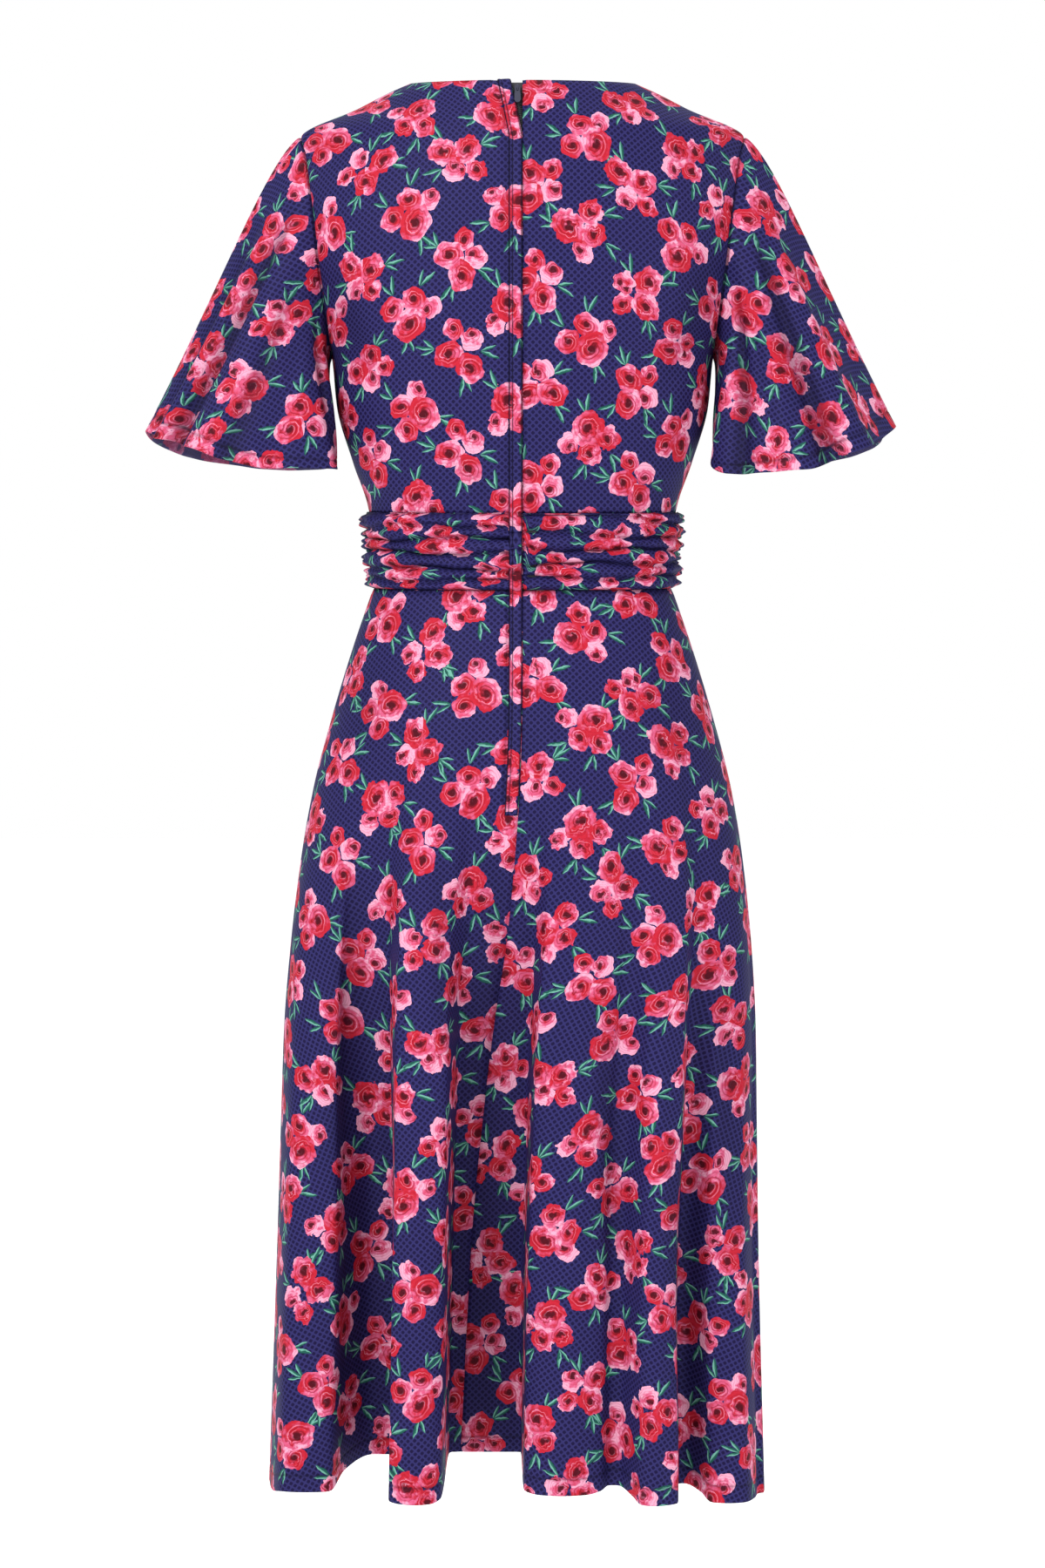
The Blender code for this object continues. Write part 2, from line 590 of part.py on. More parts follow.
def build_zip(bodice, band, skirt):
    """The tape behind the opening, the folded lap over it, the slider and its pull tab."""
    line, normal = zip_line(bodice, band, skirt, over_band=True)
    strip("zip_lap", line, normal, -LAP_WIDTH, -SEAM_GAP, SEAM_GAP, SEAM_GAP + LAP_THICK, NAVY_PRINT)

    line, normal = zip_line(bodice, band, skirt, over_band=False)
    line[:, 0] *= 0.5
    under = -CLOTH - TAPE_CLEAR
    strip("zip_tape", line, normal, -TAPE_WIDTH / 2, TAPE_WIDTH / 2, under - TAPE_THICK, under,
          BLACK_TAPE)

    y = float(torso_y(SLIDER_X, SLIDER_HEIGHT, False))
    above = float(torso_y(SLIDER_X, SLIDER_HEIGHT + 6 * MM, False))
    below = float(torso_y(SLIDER_X, SLIDER_HEIGHT - 6 * MM, False))
    tilt = math.atan2(above - below, 12 * MM)
    out = np.array((0.0, -math.cos(tilt), math.sin(tilt)))
    seat = np.array((SLIDER_X, y, SLIDER_HEIGHT))
    face = seat + (SLIDER_THICK - CLOTH) * out
    axis = face + PULL_AXIS_OUT * out
    build_slider(face, tilt)
    build_pull(axis, tilt)


def box(shape, low, high):
    made = bmesh.ops.create_cube(shape, size=1.0)["verts"]
    size = np.subtract(high, low)
    middle = np.add(high, low) / 2
    bmesh.ops.scale(shape, vec=size, verts=made)
    bmesh.ops.translate(shape, vec=middle, verts=made)


def build_slider(face, tilt):
    """A flat body with a narrow bridge that the pull hangs from; its outer face is local y = 0."""
    shape = bmesh.new()
    box(shape, (-SLIDER_WIDE / 2, 0.0, -SLIDER_TALL / 2), (SLIDER_WIDE / 2, SLIDER_THICK, SLIDER_TALL / 2))
    bmesh.ops.bevel(shape, geom=shape.edges, offset=0.7 * MM, segments=2, affect="EDGES")
    mesh = bpy.data.meshes.new("zip_slider")
    shape.to_mesh(mesh)
    shape.free()
    slider = add_object("zip_slider", mesh, DARK_METAL)

    bridge_shape = bmesh.new()
    reach, half, bar = BRIDGE_REACH, BRIDGE_HALF, BRIDGE_BAR
    profile = ((0.5 * MM, -half), (-reach + 0.6 * MM, -half), (-reach, -half + 0.6 * MM),
               (-reach, half - 0.6 * MM), (-reach + 0.6 * MM, half), (0.5 * MM, half),
               (0.5 * MM, half - bar), (-reach + bar, half - bar), (-reach + bar, bar - half),
               (0.5 * MM, bar - half))
    corners = [bridge_shape.verts.new((-BRIDGE_WIDE / 2, y, z)) for y, z in profile]
    side = bridge_shape.faces.new(corners)
    pushed = bmesh.ops.extrude_face_region(bridge_shape, geom=[side])["geom"]
    moved = [item for item in pushed if isinstance(item, bmesh.types.BMVert)]
    bmesh.ops.translate(bridge_shape, vec=(BRIDGE_WIDE, 0.0, 0.0), verts=moved)
    bmesh.ops.recalc_face_normals(bridge_shape, faces=bridge_shape.faces)
    bridge_mesh = bpy.data.meshes.new("zip_bridge")
    bridge_shape.to_mesh(bridge_mesh)
    bridge_shape.free()
    bridge = add_object("zip_bridge", bridge_mesh, DARK_METAL)
    bridge.hide_render = True
    bridge.display_type = "WIRE"

    join = slider.modifiers.new("bridge", "BOOLEAN")
    join.operation = "UNION"
    join.object = bridge
    for piece in (slider, bridge):
        piece.location = face
        piece.rotation_euler = (-tilt, 0.0, 0.0)


def build_pull(axis, tilt):
    """A small flat tab with an eye round the slider's bridge; it hangs from local z = 0."""
    outline = ((-1.3, 0.5), (1.3, 0.5), (1.7, 0.0), (1.7, -3.6), (2.4, -6.0), (2.6, -12.0),
               (1.6, -14.2), (0.0, -14.8), (-1.6, -14.2), (-2.6, -12.0), (-2.4, -6.0), (-1.7, -3.6),
               (-1.7, 0.0))
    eye = ((-0.9, -0.5), (0.9, -0.5), (0.9, -3.4), (-0.9, -3.4))
    shape = bmesh.new()
    loops = []
    for points in (outline, eye):
        verts = [shape.verts.new((x * MM, -PULL_THICK / 2, z * MM)) for x, z in points]
        loops += [shape.edges.new((verts[i - 1], verts[i])) for i in range(len(verts))]
    bmesh.ops.triangle_fill(shape, edges=loops, use_beauty=True)
    pushed = bmesh.ops.extrude_face_region(shape, geom=shape.faces[:])["geom"]
    moved = [item for item in pushed if isinstance(item, bmesh.types.BMVert)]
    bmesh.ops.translate(shape, vec=(0.0, PULL_THICK, 0.0), verts=moved)
    bmesh.ops.recalc_face_normals(shape, faces=shape.faces)
    mesh = bpy.data.meshes.new("zip_pull")
    shape.to_mesh(mesh)
    shape.free()
    pull = add_object("zip_pull", mesh, DARK_METAL)
    pull.location = axis
    pull.rotation_euler = (-tilt, 0.0, 0.0)


def main():
    for old in list(bpy.data.objects):
        bpy.data.objects.remove(old, do_unlink=True)
    armholes, bodice = build_bodice()
    for side, hem in (("right", RIGHT_SLEEVE_HEM), ("left", LEFT_SLEEVE_HEM)):
        build_sleeve(side, armholes[side], hem)
    band = build_band()
    skirt = build_skirt()
    build_zip(bodice, band, skirt)


main()
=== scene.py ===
"""Looks of the tea dress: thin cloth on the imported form, its rose print, zip, light and camera.

The frame is in metres, +X to the wearer's right, +Y to the wearer's front, +Z up. Each cloth piece is a
thin closed shell on the form of the CAD node that it replaces, drawn from the same section tables with
finer rows and columns, and then creased.
"""

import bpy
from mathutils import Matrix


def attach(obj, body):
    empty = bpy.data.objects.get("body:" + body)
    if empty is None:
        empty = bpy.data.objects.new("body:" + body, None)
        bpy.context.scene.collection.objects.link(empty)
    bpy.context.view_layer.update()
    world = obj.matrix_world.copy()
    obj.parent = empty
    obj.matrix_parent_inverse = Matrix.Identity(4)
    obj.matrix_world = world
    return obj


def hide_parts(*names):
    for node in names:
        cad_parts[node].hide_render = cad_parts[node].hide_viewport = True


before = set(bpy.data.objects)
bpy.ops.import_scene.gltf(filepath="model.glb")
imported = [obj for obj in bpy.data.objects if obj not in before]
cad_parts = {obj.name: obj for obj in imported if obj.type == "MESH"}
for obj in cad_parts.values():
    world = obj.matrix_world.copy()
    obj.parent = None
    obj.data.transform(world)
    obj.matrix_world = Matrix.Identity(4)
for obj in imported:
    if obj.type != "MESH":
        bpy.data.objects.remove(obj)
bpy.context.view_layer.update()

import math

import bpy
import numpy as np
from mathutils import Vector

MM = 0.001
SHELL = 0.9 * MM
SEAM_GAP = 0.3 * MM
SEAM_ROLL, SEAM_ROLL_WIDE = 0.7 * MM, 2.2 * MM
WAIST_SEAM_EASE = 0.5

# ---- the form, as packed
UNDERARM = -0.225
BAND_TOP = -0.351
BAND_FOOT = -0.413
ZIP_FOOT = -0.597
HEM = -1.15
SIDE_NECK = 0.092
SHOULDER_HEIGHT = -0.043
BACK_NECK_HEIGHT = -0.004
V_NECK_HEIGHT = -0.165

# In mm: height, half width, depth to the back, to the front. Then squareness at the middle and the side
TORSO = np.array((
    (0, 92, 72, 66, 2.0, 1.9),
    (-8, 111, 78, 71, 2.0, 1.6),
    (-20, 135, 85, 78, 2.0, 1.35),
    (-43, 183, 95, 88, 2.1, 1.15),
    (-60, 186, 99, 94, 2.1, 1.35),
    (-90, 187, 103, 102, 2.2, 1.8),
    (-130, 182, 106, 111, 2.3, 2.2),
    (-170, 172, 106, 120, 2.4, 2.4),
    (-200, 164, 105, 125, 2.5, 2.5),
    (-225, 157, 103, 127, 2.5, 2.5),
    (-265, 153, 99, 123, 2.5, 2.5),
    (-310, 140, 93, 109, 2.5, 2.45),
    (-351, 127, 87, 98, 2.4, 2.4),
    (-413, 122.5, 86, 95, 2.4, 2.4),
)) / (1000, 1000, 1000, 1000, 1, 1)
# Height and half width, mm
ARMHOLE = np.array((
    (-225, 157), (-188, 161), (-150, 166), (-112, 170),
    (-85, 174), (-60, 178), (-50, 181), (-43, 183),
)) / 1000
# In mm: height, half width, depth to the back, to the front. Then squareness and how formed the folds are
SKIRT = np.array((
    (-413, 123.5, 86, 95, 2.4, 0.0),
    (-460, 140, 100, 108, 2.35, 0.0),
    (-518, 158, 113, 118, 2.3, 0.01),
    (-576, 173.5, 121, 124, 2.25, 0.05),
    (-635, 184, 124, 126, 2.2, 0.13),
    (-708, 192.5, 124, 126, 2.15, 0.27),
    (-771, 197, 123, 125, 2.1, 0.45),
    (-845, 199, 122, 124, 2.1, 0.62),
    (-958, 202, 121, 122, 2.1, 0.82),
    (-1150, 208.5, 120, 120, 2.1, 1.0),
)) / (1000, 1000, 1000, 1000, 1, 1)
# Folds at the hem, mm: left and right edge, how crisp each is (0 to 1), the crest's reach and height, then
# the valley to the right: place, half width, reach, height
BACK_FOLDS = (
    (-208, -147, 0.3, 0.4, 92, -1152, -117, 8, 28, -1136),
    (-109, -66, 0.9, 0.85, 134, -1152, -31, 29, 28, -1134),
    (1, 64, 0.85, 0.5, 124, -1147, 74, 3, 104, -1143),
    (89, 126, 0.5, 0.85, 141, -1151, 131, 2, 74, -1149),
    (146, 191, 0.4, 0.5, 100, -1159, 198, 1, 55, -1162),
)
FRONT_FOLDS = (
    (-203, -150, 0.4, 0.6, 90, -1158, -138, 6, 40, -1142),
    (-124, -74, 0.8, 0.7, 142, -1152, -58, 10, 44, -1139),
    (-34, 20, 0.5, 0.6, 150, -1149, 34, 8, 62, -1139),
    (50, 94, 0.6, 0.8, 142, -1150, 112, 12, 40, -1140),
    (136, 188, 0.7, 0.4, 104, -1157, 196, 1, 54, -1161),
)
HEM_SIDE_LEFT, HEM_SIDE_RIGHT, HEM_SIDE_HEIGHT = -0.214, 0.204, -1.163
CENTRE_BACK_AT_HEM = -0.051

SLEEVE_MIDDLE = 0.232
ARMHOLE_GAP = 0.5 * MM
TUCK_UNDER, TUCK_LONG = SEAM_ROLL + SHELL + 0.4 * MM, 5.0 * MM
# Painted shade on the sleeve's seam edge that turns in under the bodice
TUCK_SHADE = 0.6
# The cone that the sleeve's print lies on: height of its foot, radius there and at the least, sideways
# lean and taper to each metre of height, and how much of a full turn the flat cut takes
SLEEVE_CONE_FOOT, SLEEVE_RADIUS, SLEEVE_LEAST = -0.3, 0.092, 0.02
SLEEVE_LEAN, SLEEVE_TAPER, SLEEVE_SPREAD = 0.21, 0.283, 0.272
SLEEVE_SLANT = math.radians(45)
# Sleeve hem seen from above: turn in degrees, reach and height in mm
RIGHT_SLEEVE_HEM = (
    (0, 77, -280), (22, 70, -289), (42, 74, -295), (60, 83, -300),
    (74, 78, -307), (92, 91, -316), (112, 92, -318), (134, 96, -319),
    (156, 86, -306), (180, 73, -298), (204, 79, -308), (228, 91, -316),
    (248, 86, -315), (270, 92, -314), (292, 80, -308), (318, 83, -298),
    (340, 72, -288), (360, 77, -280),
)
LEFT_SLEEVE_HEM = (
    (0, 80, -284), (18, 74, -287), (30, 80, -290), (42, 67, -293),
    (62, 83, -298), (84, 91, -307), (108, 91, -315), (140, 109, -315),
    (160, 82, -310), (180, 73, -302), (202, 78, -309), (224, 90, -315),
    (246, 93, -316), (268, 84, -313), (290, 89, -309), (316, 78, -302),
    (340, 80, -293), (360, 80, -284),
)

# ---- creases, mm: start x, z, end x, z, width, height (below 0 is a trough)
BACK_CREASES = (
    (10, -8, 30, -20, 3.5, -0.8), (8, -15, 24, -30, 3.0, 0.7), (-16, -10, -34, -26, 4.0, -0.5),
    (-156, -150, -118, -262, 12, -1.8), (-140, -205, -104, -300, 10, 1.2),
    (156, -140, 122, -250, 12, -1.8), (142, -215, 108, -305, 10, 1.2),
    (-128, -322, -66, -342, 6, 1.3), (126, -318, 70, -338, 6, 1.1), (-60, -300, -22, -344, 9, -0.8),
)
FRONT_CREASES = (
    (-150, -150, -96, -250, 12, -1.8), (152, -148, 100, -246, 12, -1.8),
    (-120, -310, -52, -338, 7, 1.3), (122, -316, 58, -340, 7, 1.3),
    (-60, -250, -36, -345, 14, -1.4), (58, -252, 34, -345, 14, -1.4),
)
SKIRT_BACK_CREASES = (
    (-66, -630, -62, -790, 9, -2.2), (-98, -600, -104, -860, 12, 1.8), (-138, -640, -152, -900, 12, -2.4),
    (-22, -620, -30, -860, 12, -2.2), (18, -690, 24, -960, 11, 1.8), (68, -760, 72, -960, 9, -2.4),
    (104, -640, 112, -900, 12, 2.0), (120, -820, 130, -1090, 8, -2.0), (158, -700, 172, -960, 12, -2.0),
    (-120, -470, -136, -560, 14, -1.0), (112, -470, 132, -560, 14, -1.0),
)
SKIRT_FRONT_CREASES = (
    (-60, -610, -64, -830, 11, -2.4), (-98, -620, -108, -900, 12, 1.8), (36, -600, 38, -860, 11, -2.2),
    (0, -680, -6, -930, 12, 1.8), (72, -640, 78, -900, 12, 1.6), (108, -640, 118, -920, 11, -2.4),
    (-138, -650, -150, -920, 12, -2.2), (150, -660, 168, -940, 12, 1.8),
)
# Sleeves: turn in degrees at the armhole and at the hem, the share of the way down where it starts (all
# run to the hem), width in degrees, height in mm
SLEEVE_CREASES = {
    "right": ((58, 77, 0.15, 6, -6.0), (80, 98, 0.3, 7, 3.4), (102, 126, 0.12, 6, -4.8),
              (38, 52, 0.2, 7, 3.2), (118, 144, 0.3, 7, 2.8), (132, 161, 0.25, 6, -4.4),
              (210, 214, 0.3, 8, -3.8), (250, 256, 0.2, 8, -4.2), (300, 306, 0.3, 8, -3.8),
              (330, 332, 0.3, 8, 2.6)),
    "left": ((52, 45, 0.12, 6, -7.0), (70, 68, 0.3, 7, 3.5), (90, 84, 0.2, 7, -3.2),
             (112, 120, 0.3, 8, 2.8), (120, 146, 0.1, 6, -5.2), (20, 18, 0.3, 6, -2.9),
             (200, 206, 0.3, 8, -3.8), (232, 238, 0.2, 8, 2.9), (262, 268, 0.2, 8, -4.2),
             (310, 316, 0.3, 8, -3.5)),
}

# Gathered band: each valley's share of the way down, at the middle and at the side seam, and how deep
BAND_VALLEYS = (
    ((0.15, 0.21, 0.55), (0.33, 0.34, 1.0), (0.53, 0.49, 1.0), (0.73, 0.7, 0.9), (0.88, 0.86, 0.7)),
    ((-0.02, 0.17, 0.9), (0.25, 0.36, 0.8), (0.46, 0.5, 1.0), (0.66, 0.65, 0.9), (0.84, 0.83, 0.8)),
    ((0.14, 0.18, 0.7), (0.34, 0.32, 1.0), (0.5, 0.52, 0.9), (0.7, 0.68, 1.0), (0.87, 0.85, 0.8)),
    ((0.14, 0.2, 0.7), (0.34, 0.36, 1.0), (0.5, 0.5, 0.9), (0.7, 0.72, 1.0), (0.87, 0.88, 0.8)),
)
# Painted shade: the most in the band's valleys and in other folds, 0 to 1, and the depth below the form at
# which a fold's painted shade is full
BAND_SHADE, FOLD_SHADE, FOLD_DEEP = 0.9, 0.5, 3.6 * MM
BAND_LOW, BAND_HIGH, GATHER_AT_SIDES = -1.8 * MM, 6.0 * MM, 2.0 * MM

# Zip
ZIP_OPENING, ZIP_OPENING_FOOT = 10.0 * MM, -0.05
LAP_WIDTH, LAP_GROOVE, LAP_THICK = 11.0 * MM, 1.3 * MM, 0.3 * MM
TAPE_WIDTH, TAPE_BEHIND, TAPE_THICK = 22.0 * MM, 3.2 * MM, 0.8 * MM
COIL_PITCH, COIL_HALF, COIL_WIRE, COIL_STEPS = 1.5 * MM, 1.7 * MM, 0.32 * MM, 14
# Across the lap: place from its stitched edge (0) to its fold (1), height over the panel in mm, and painted
# shade: shadow in the gaps at the stitched edge and the fold, and along the stitch line, which is partly dark
# thread
LAP_PROFILE = np.array((
    (0.0, 0.2, 1.0), (0.05, 0.9, 0.95), (0.1, 1.2, 0.5), (0.15, 1.15, 0.1), (0.19, 1.1, 0.0),
    (0.23, 0.95, 0.35), (0.28, 0.8, 0.85), (0.33, 0.95, 0.35), (0.38, 1.1, 0.0), (0.65, 1.35, 0.0),
    (0.82, 1.4, 0.0), (0.9, 1.3, 0.3), (0.95, 1.0, 0.85), (1.0, 0.5, 1.0),
))

# Setting: each lamp's name, place, size and watts
LAMPS = (("key", (-1.9, -3.0, 1.7), 1.2, 160.0), ("fill", (2.8, -2.6, 0.3), 1.6, 52.0),
         ("top", (0.3, 0.6, 2.4), 1.4, 20.0))
LAMP_AIM = (0.0, 0.0, -0.62)
CAMERA_AT, CAMERA_AIM, LENS_MM = (0.0, -3.3, -0.3299), (0.0, 0.0, -0.5764), 91.3
FLOOR_HALF, FLOOR_HEIGHT, FLOOR_GLOW = 9.0, -1.42, 0.12

# Grids
BELOW_ARM_ROWS, ARM_ROWS, BODICE_COLUMNS, NECK_COLUMNS = 42, 78, 90, 50
BAND_ROWS, BAND_COLUMNS = 120, 72
SKIRT_COLUMNS = (130, 144, 236)
SKIRT_HEM_STITCH, SLEEVE_HEM_STITCH = 13.5 * MM, 7.0 * MM
SKIRT_CONE_TOP = 0.358
SLEEVE_ROWS = 64

# ---- print
PRINT_SIZE = 0.98
CELL = 82.0
JITTER = 4.0
WOBBLE, FRILL = 1.8, 4.6
# x, y, radius in mm, and 1 for a bloom seen from the side
ROSES_A = ((-8, 6, 12.0, 0), (12, 8, 9.8, 0), (5, -11, 10.2, 0), (-12, -12, 7.6, 1))
ROSES_B = ((-1, 11, 10.3, 0), (-13, -4, 8.9, 1), (9, -6, 11.9, 0), (-4, -16, 7.6, 0))
# base x, y, heading in degrees, how many leaves
SPRIGS_A = ((-15, 15, 135, 2), (20, 0, -20, 2), (8, -19, -75, 2))
SPRIGS_B = ((-14, 6, 150, 2), (17, -13, -40, 3), (7, 18, 70, 2))
# Leaves of a sprig of two and of three: turn from its heading in degrees, half length and half width in mm
LEAF_FANS = {2: ((-19, 8.6, 1.7), (19, 7.1, 1.4)), 3: ((-32, 6.9, 1.4), (0, 9.0, 1.6), (32, 6.5, 1.3))}
NOWHERE = (9.0, 9.0, 0.0)
# Blooms: size over the tables', lobes round the edge and how deep, sway, and how far a side-on heart moves
BLOOM_GROW, LOBES, LOBE_DEEP, BLOOM_SWAY, SIDE_HEART = 1.06, 5.0, 0.055, 2.4, 0.42
LATTICE = 5.7
BAND_PRINT_STRETCH = 1.2

ROSE_RED = (0.344, 0.011, 0.024)
DEEP_RED = (0.16, 0.003, 0.008)
ROSE_PINK = (0.448, 0.072, 0.152)
PALE_PINK = (0.56, 0.248, 0.352)
MAROON = (0.04, 0.002, 0.006)
LEAF_GREEN = (0.011, 0.08, 0.058)
LEAF_DARK = (0.004, 0.027, 0.026)
LEAF_MINT = (0.1, 0.27, 0.21)
GROUND_LINE = (0.0185, 0.0165, 0.08)
GROUND_DARK = (0.0065, 0.0045, 0.03)
# Near-black that the print is mixed towards: painted shade in folds and seam gaps, and stitch lines, partly
# dark thread and partly painted shade
PAINTED_SHADE_COLOUR = (0.003, 0.002, 0.01)
INSIDE_TINT = (0.064, 0.056, 0.128)


def smooth(at, knots, values):
    """A smooth curve through the knots that never overshoots them."""
    step = np.diff(knots)
    rise = np.diff(values) / step
    slope = np.zeros_like(values)
    slope[0], slope[-1] = rise[0], rise[-1]
    product = rise[:-1] * rise[1:]
    total = np.where(np.abs(rise[:-1] + rise[1:]) < 1e-12, 1.0, rise[:-1] + rise[1:])
    slope[1:-1] = np.where(product > 0.0, 2.0 * product / total, 0.0)
    at = np.clip(at, knots[0], knots[-1])
    i = np.clip(np.searchsorted(knots, at, side="right") - 1, 0, len(step) - 1)
    t = (at - knots[i]) / step[i]
    return (values[i] * (1 + 2 * t) * (1 - t) ** 2 + slope[i] * step[i] * t * (1 - t) ** 2
            + values[i + 1] * t ** 2 * (3 - 2 * t) + slope[i + 1] * step[i] * t ** 2 * (t - 1))


def by_height(table, column, height):
    return smooth(-height, -table[:, 0], table[:, column])


def section(table, height):
    return [float(by_height(table, column, height)) for column in range(1, table.shape[1])]


def along(points):
    steps = np.linalg.norm(np.diff(points, axis=0), axis=1)
    return np.concatenate(((0.0,), np.cumsum(steps)))


def spots_along(at, run, points):
    """The points on a line at the given distances along it."""
    return np.stack([np.interp(at, run, column) for column in points.T], axis=-1)


def unit(vectors):
    return vectors / np.maximum(np.linalg.norm(vectors, axis=-1, keepdims=True), 1e-12)


def joined(*parts):
    return np.stack(parts, axis=-1)


def clamp(share):
    return np.clip(share, 0.0, 1.0)


def bump(distance, wide):
    return np.exp(-(distance / wide) ** 2)


def torso_y(x, z, front):
    half = by_height(TORSO, 1, z)
    depth = by_height(TORSO, 3 if front else 2, z)
    share = clamp(np.abs(x) / half)
    y = depth * (1.0 - share ** by_height(TORSO, 4, z)) ** (1.0 / by_height(TORSO, 5, z))
    return y if front else -y


def onto_torso(points, front):
    x, y, z = points[..., 0], points[..., 1], points[..., 2]
    half = by_height(TORSO, 1, z)
    depth = by_height(TORSO, 3 if front else 2, z)
    middle, edge = by_height(TORSO, 4, z), by_height(TORSO, 5, z)
    turn = np.arctan2((np.abs(x) / half) ** (middle / 2), (np.abs(y) / depth) ** (edge / 2))
    side = half * np.sin(turn) ** (2 / middle)
    back = depth * np.maximum(np.cos(turn), 0.0) ** (2 / edge)
    return joined(side, back if front else -back, z)


def half_bodice(front):
    """The wearer's right half of the front or back bodice, rows from the waist up."""
    rows = BELOW_ARM_ROWS + ARM_ROWS
    u = np.linspace(0.0, 1.0, BODICE_COLUMNS + 1)
    v = np.linspace(0.0, 1.0, rows + 1)

    turn = u * math.pi / 2
    square = by_height(TORSO, 4, BAND_TOP)
    waist_x = by_height(TORSO, 1, BAND_TOP) * np.sin(turn) ** (2 / square)
    waist = joined(waist_x, torso_y(waist_x, BAND_TOP + 0 * u, front), BAND_TOP + 0 * u)

    side_z = np.linspace(BAND_TOP, UNDERARM, BELOW_ARM_ROWS + 1)
    side_x = by_height(TORSO, 1, side_z)
    arm_z = np.linspace(UNDERARM, SHOULDER_HEIGHT, ARM_ROWS + 1)[1:]
    arm_x = smooth(arm_z, ARMHOLE[:, 0], ARMHOLE[:, 1])
    edge_z = np.concatenate((side_z, arm_z))
    edge_x = np.concatenate((side_x, arm_x))
    edge_y = np.concatenate((0 * side_z, torso_y(arm_x, arm_z, front)))
    edge = joined(edge_x, edge_y, edge_z)

    neck_share = NECK_COLUMNS / BODICE_COLUMNS
    neck_u = clamp(u / neck_share)
    if front:
        neck_z = V_NECK_HEIGHT * (1.0 - neck_u)
        neck_x = SIDE_NECK * neck_u
    else:
        neck_z = BACK_NECK_HEIGHT * (1.0 - neck_u ** 2)
        neck_x = by_height(TORSO, 1, neck_z) * np.sin(neck_u * math.pi / 2)
    down = clamp((u - neck_share) / (1.0 - neck_share))
    top_z = neck_z + SHOULDER_HEIGHT * down
    top_x = np.where(down > 0.0, by_height(TORSO, 1, top_z), neck_x)
    top_y = np.where(neck_u < 1.0, torso_y(top_x, top_z, front), 0.0)
    top = joined(top_x, top_y, top_z)

    middle_z = np.linspace(BAND_TOP, top_z[0], rows + 1)
    middle = joined(0 * v, torso_y(0 * v, middle_z, front), middle_z)

    a, b = u[None, :, None], v[:, None, None]
    grid = (1 - b) * waist[None] + b * top[None] + (1 - a) * middle[:, None] + a * edge[:, None]
    grid -= (1 - a) * (1 - b) * waist[0] + a * (1 - b) * waist[-1]
    grid -= (1 - a) * b * top[0] + a * b * top[-1]
    grid[1:-1, 1:-1] = onto_torso(grid[1:-1, 1:-1], front)
    return grid


def mirrored(grid):
    return grid[:, ::-1] * np.array((-1.0, 1.0, 1.0))


def outward(grid, ring=False):
    """Unit normals of a grid whose rows run left to right over the back and columns down the cloth."""
    if ring:
        across = np.roll(grid, -1, axis=1) - np.roll(grid, 1, axis=1)
    else:
        across = np.gradient(grid, axis=1)
    return unit(np.cross(across, np.gradient(grid, axis=0)))


def runs(grid):
    """Distance along each row from its first column, and up each column from its first row."""
    across = np.linalg.norm(np.diff(grid, axis=1), axis=2)
    up = np.linalg.norm(np.diff(grid, axis=0), axis=2)
    return (np.concatenate((np.zeros((grid.shape[0], 1)), np.cumsum(across, axis=1)), axis=1),
            np.concatenate((np.zeros((1, grid.shape[1])), np.cumsum(up, axis=0)), axis=0))


def chart(grid, rise):
    """How far each point lies along its row once the rows' own rise in the cloth is taken off."""
    step = np.linalg.norm(np.diff(grid, axis=1), axis=2)
    level = np.sqrt(np.maximum(step ** 2 - np.diff(rise, axis=1) ** 2, (0.3 * step) ** 2))
    return np.concatenate((np.zeros((grid.shape[0], 1)), np.cumsum(level, axis=1)), axis=1)


def rolled(grid, edges):
    """How far the cloth dips along the named seams."""
    across, up = runs(grid)
    away = {"left": across, "right": across[:, -1:] - across, "bottom": up, "top": up[-1:] - up}
    return -SEAM_ROLL * sum(bump(away[edge], SEAM_ROLL_WIDE) for edge in edges)


def creased(grid, creases):
    """Height of soft troughs and ridges that are drawn as lines in the back or front view."""
    spots = grid[..., (0, 2)] / MM
    total = np.zeros(grid.shape[:2])
    for x0, z0, x1, z1, wide, high in creases:
        start, line = np.array((x0, z0)), np.array((x1 - x0, z1 - z0))
        share = clamp(((spots - start) @ line) / (line @ line))
        away = np.linalg.norm(spots - start - share[..., None] * line, axis=-1)
        total += high * bump(away, wide) * np.sin(math.pi * (0.02 + 0.96 * share)) ** 0.7
    return total * MM


def lap_groove(from_edge, z):
    """The pressed line down the wearer's-left back beside the zip's lap."""
    return -LAP_GROOVE * bump(from_edge - LAP_WIDTH - 1.2 * MM, 1.4 * MM) * (z > ZIP_FOOT)


def add_object(name, data):
    made = bpy.data.objects.new(name, data)
    bpy.context.scene.collection.objects.link(made)
    return made


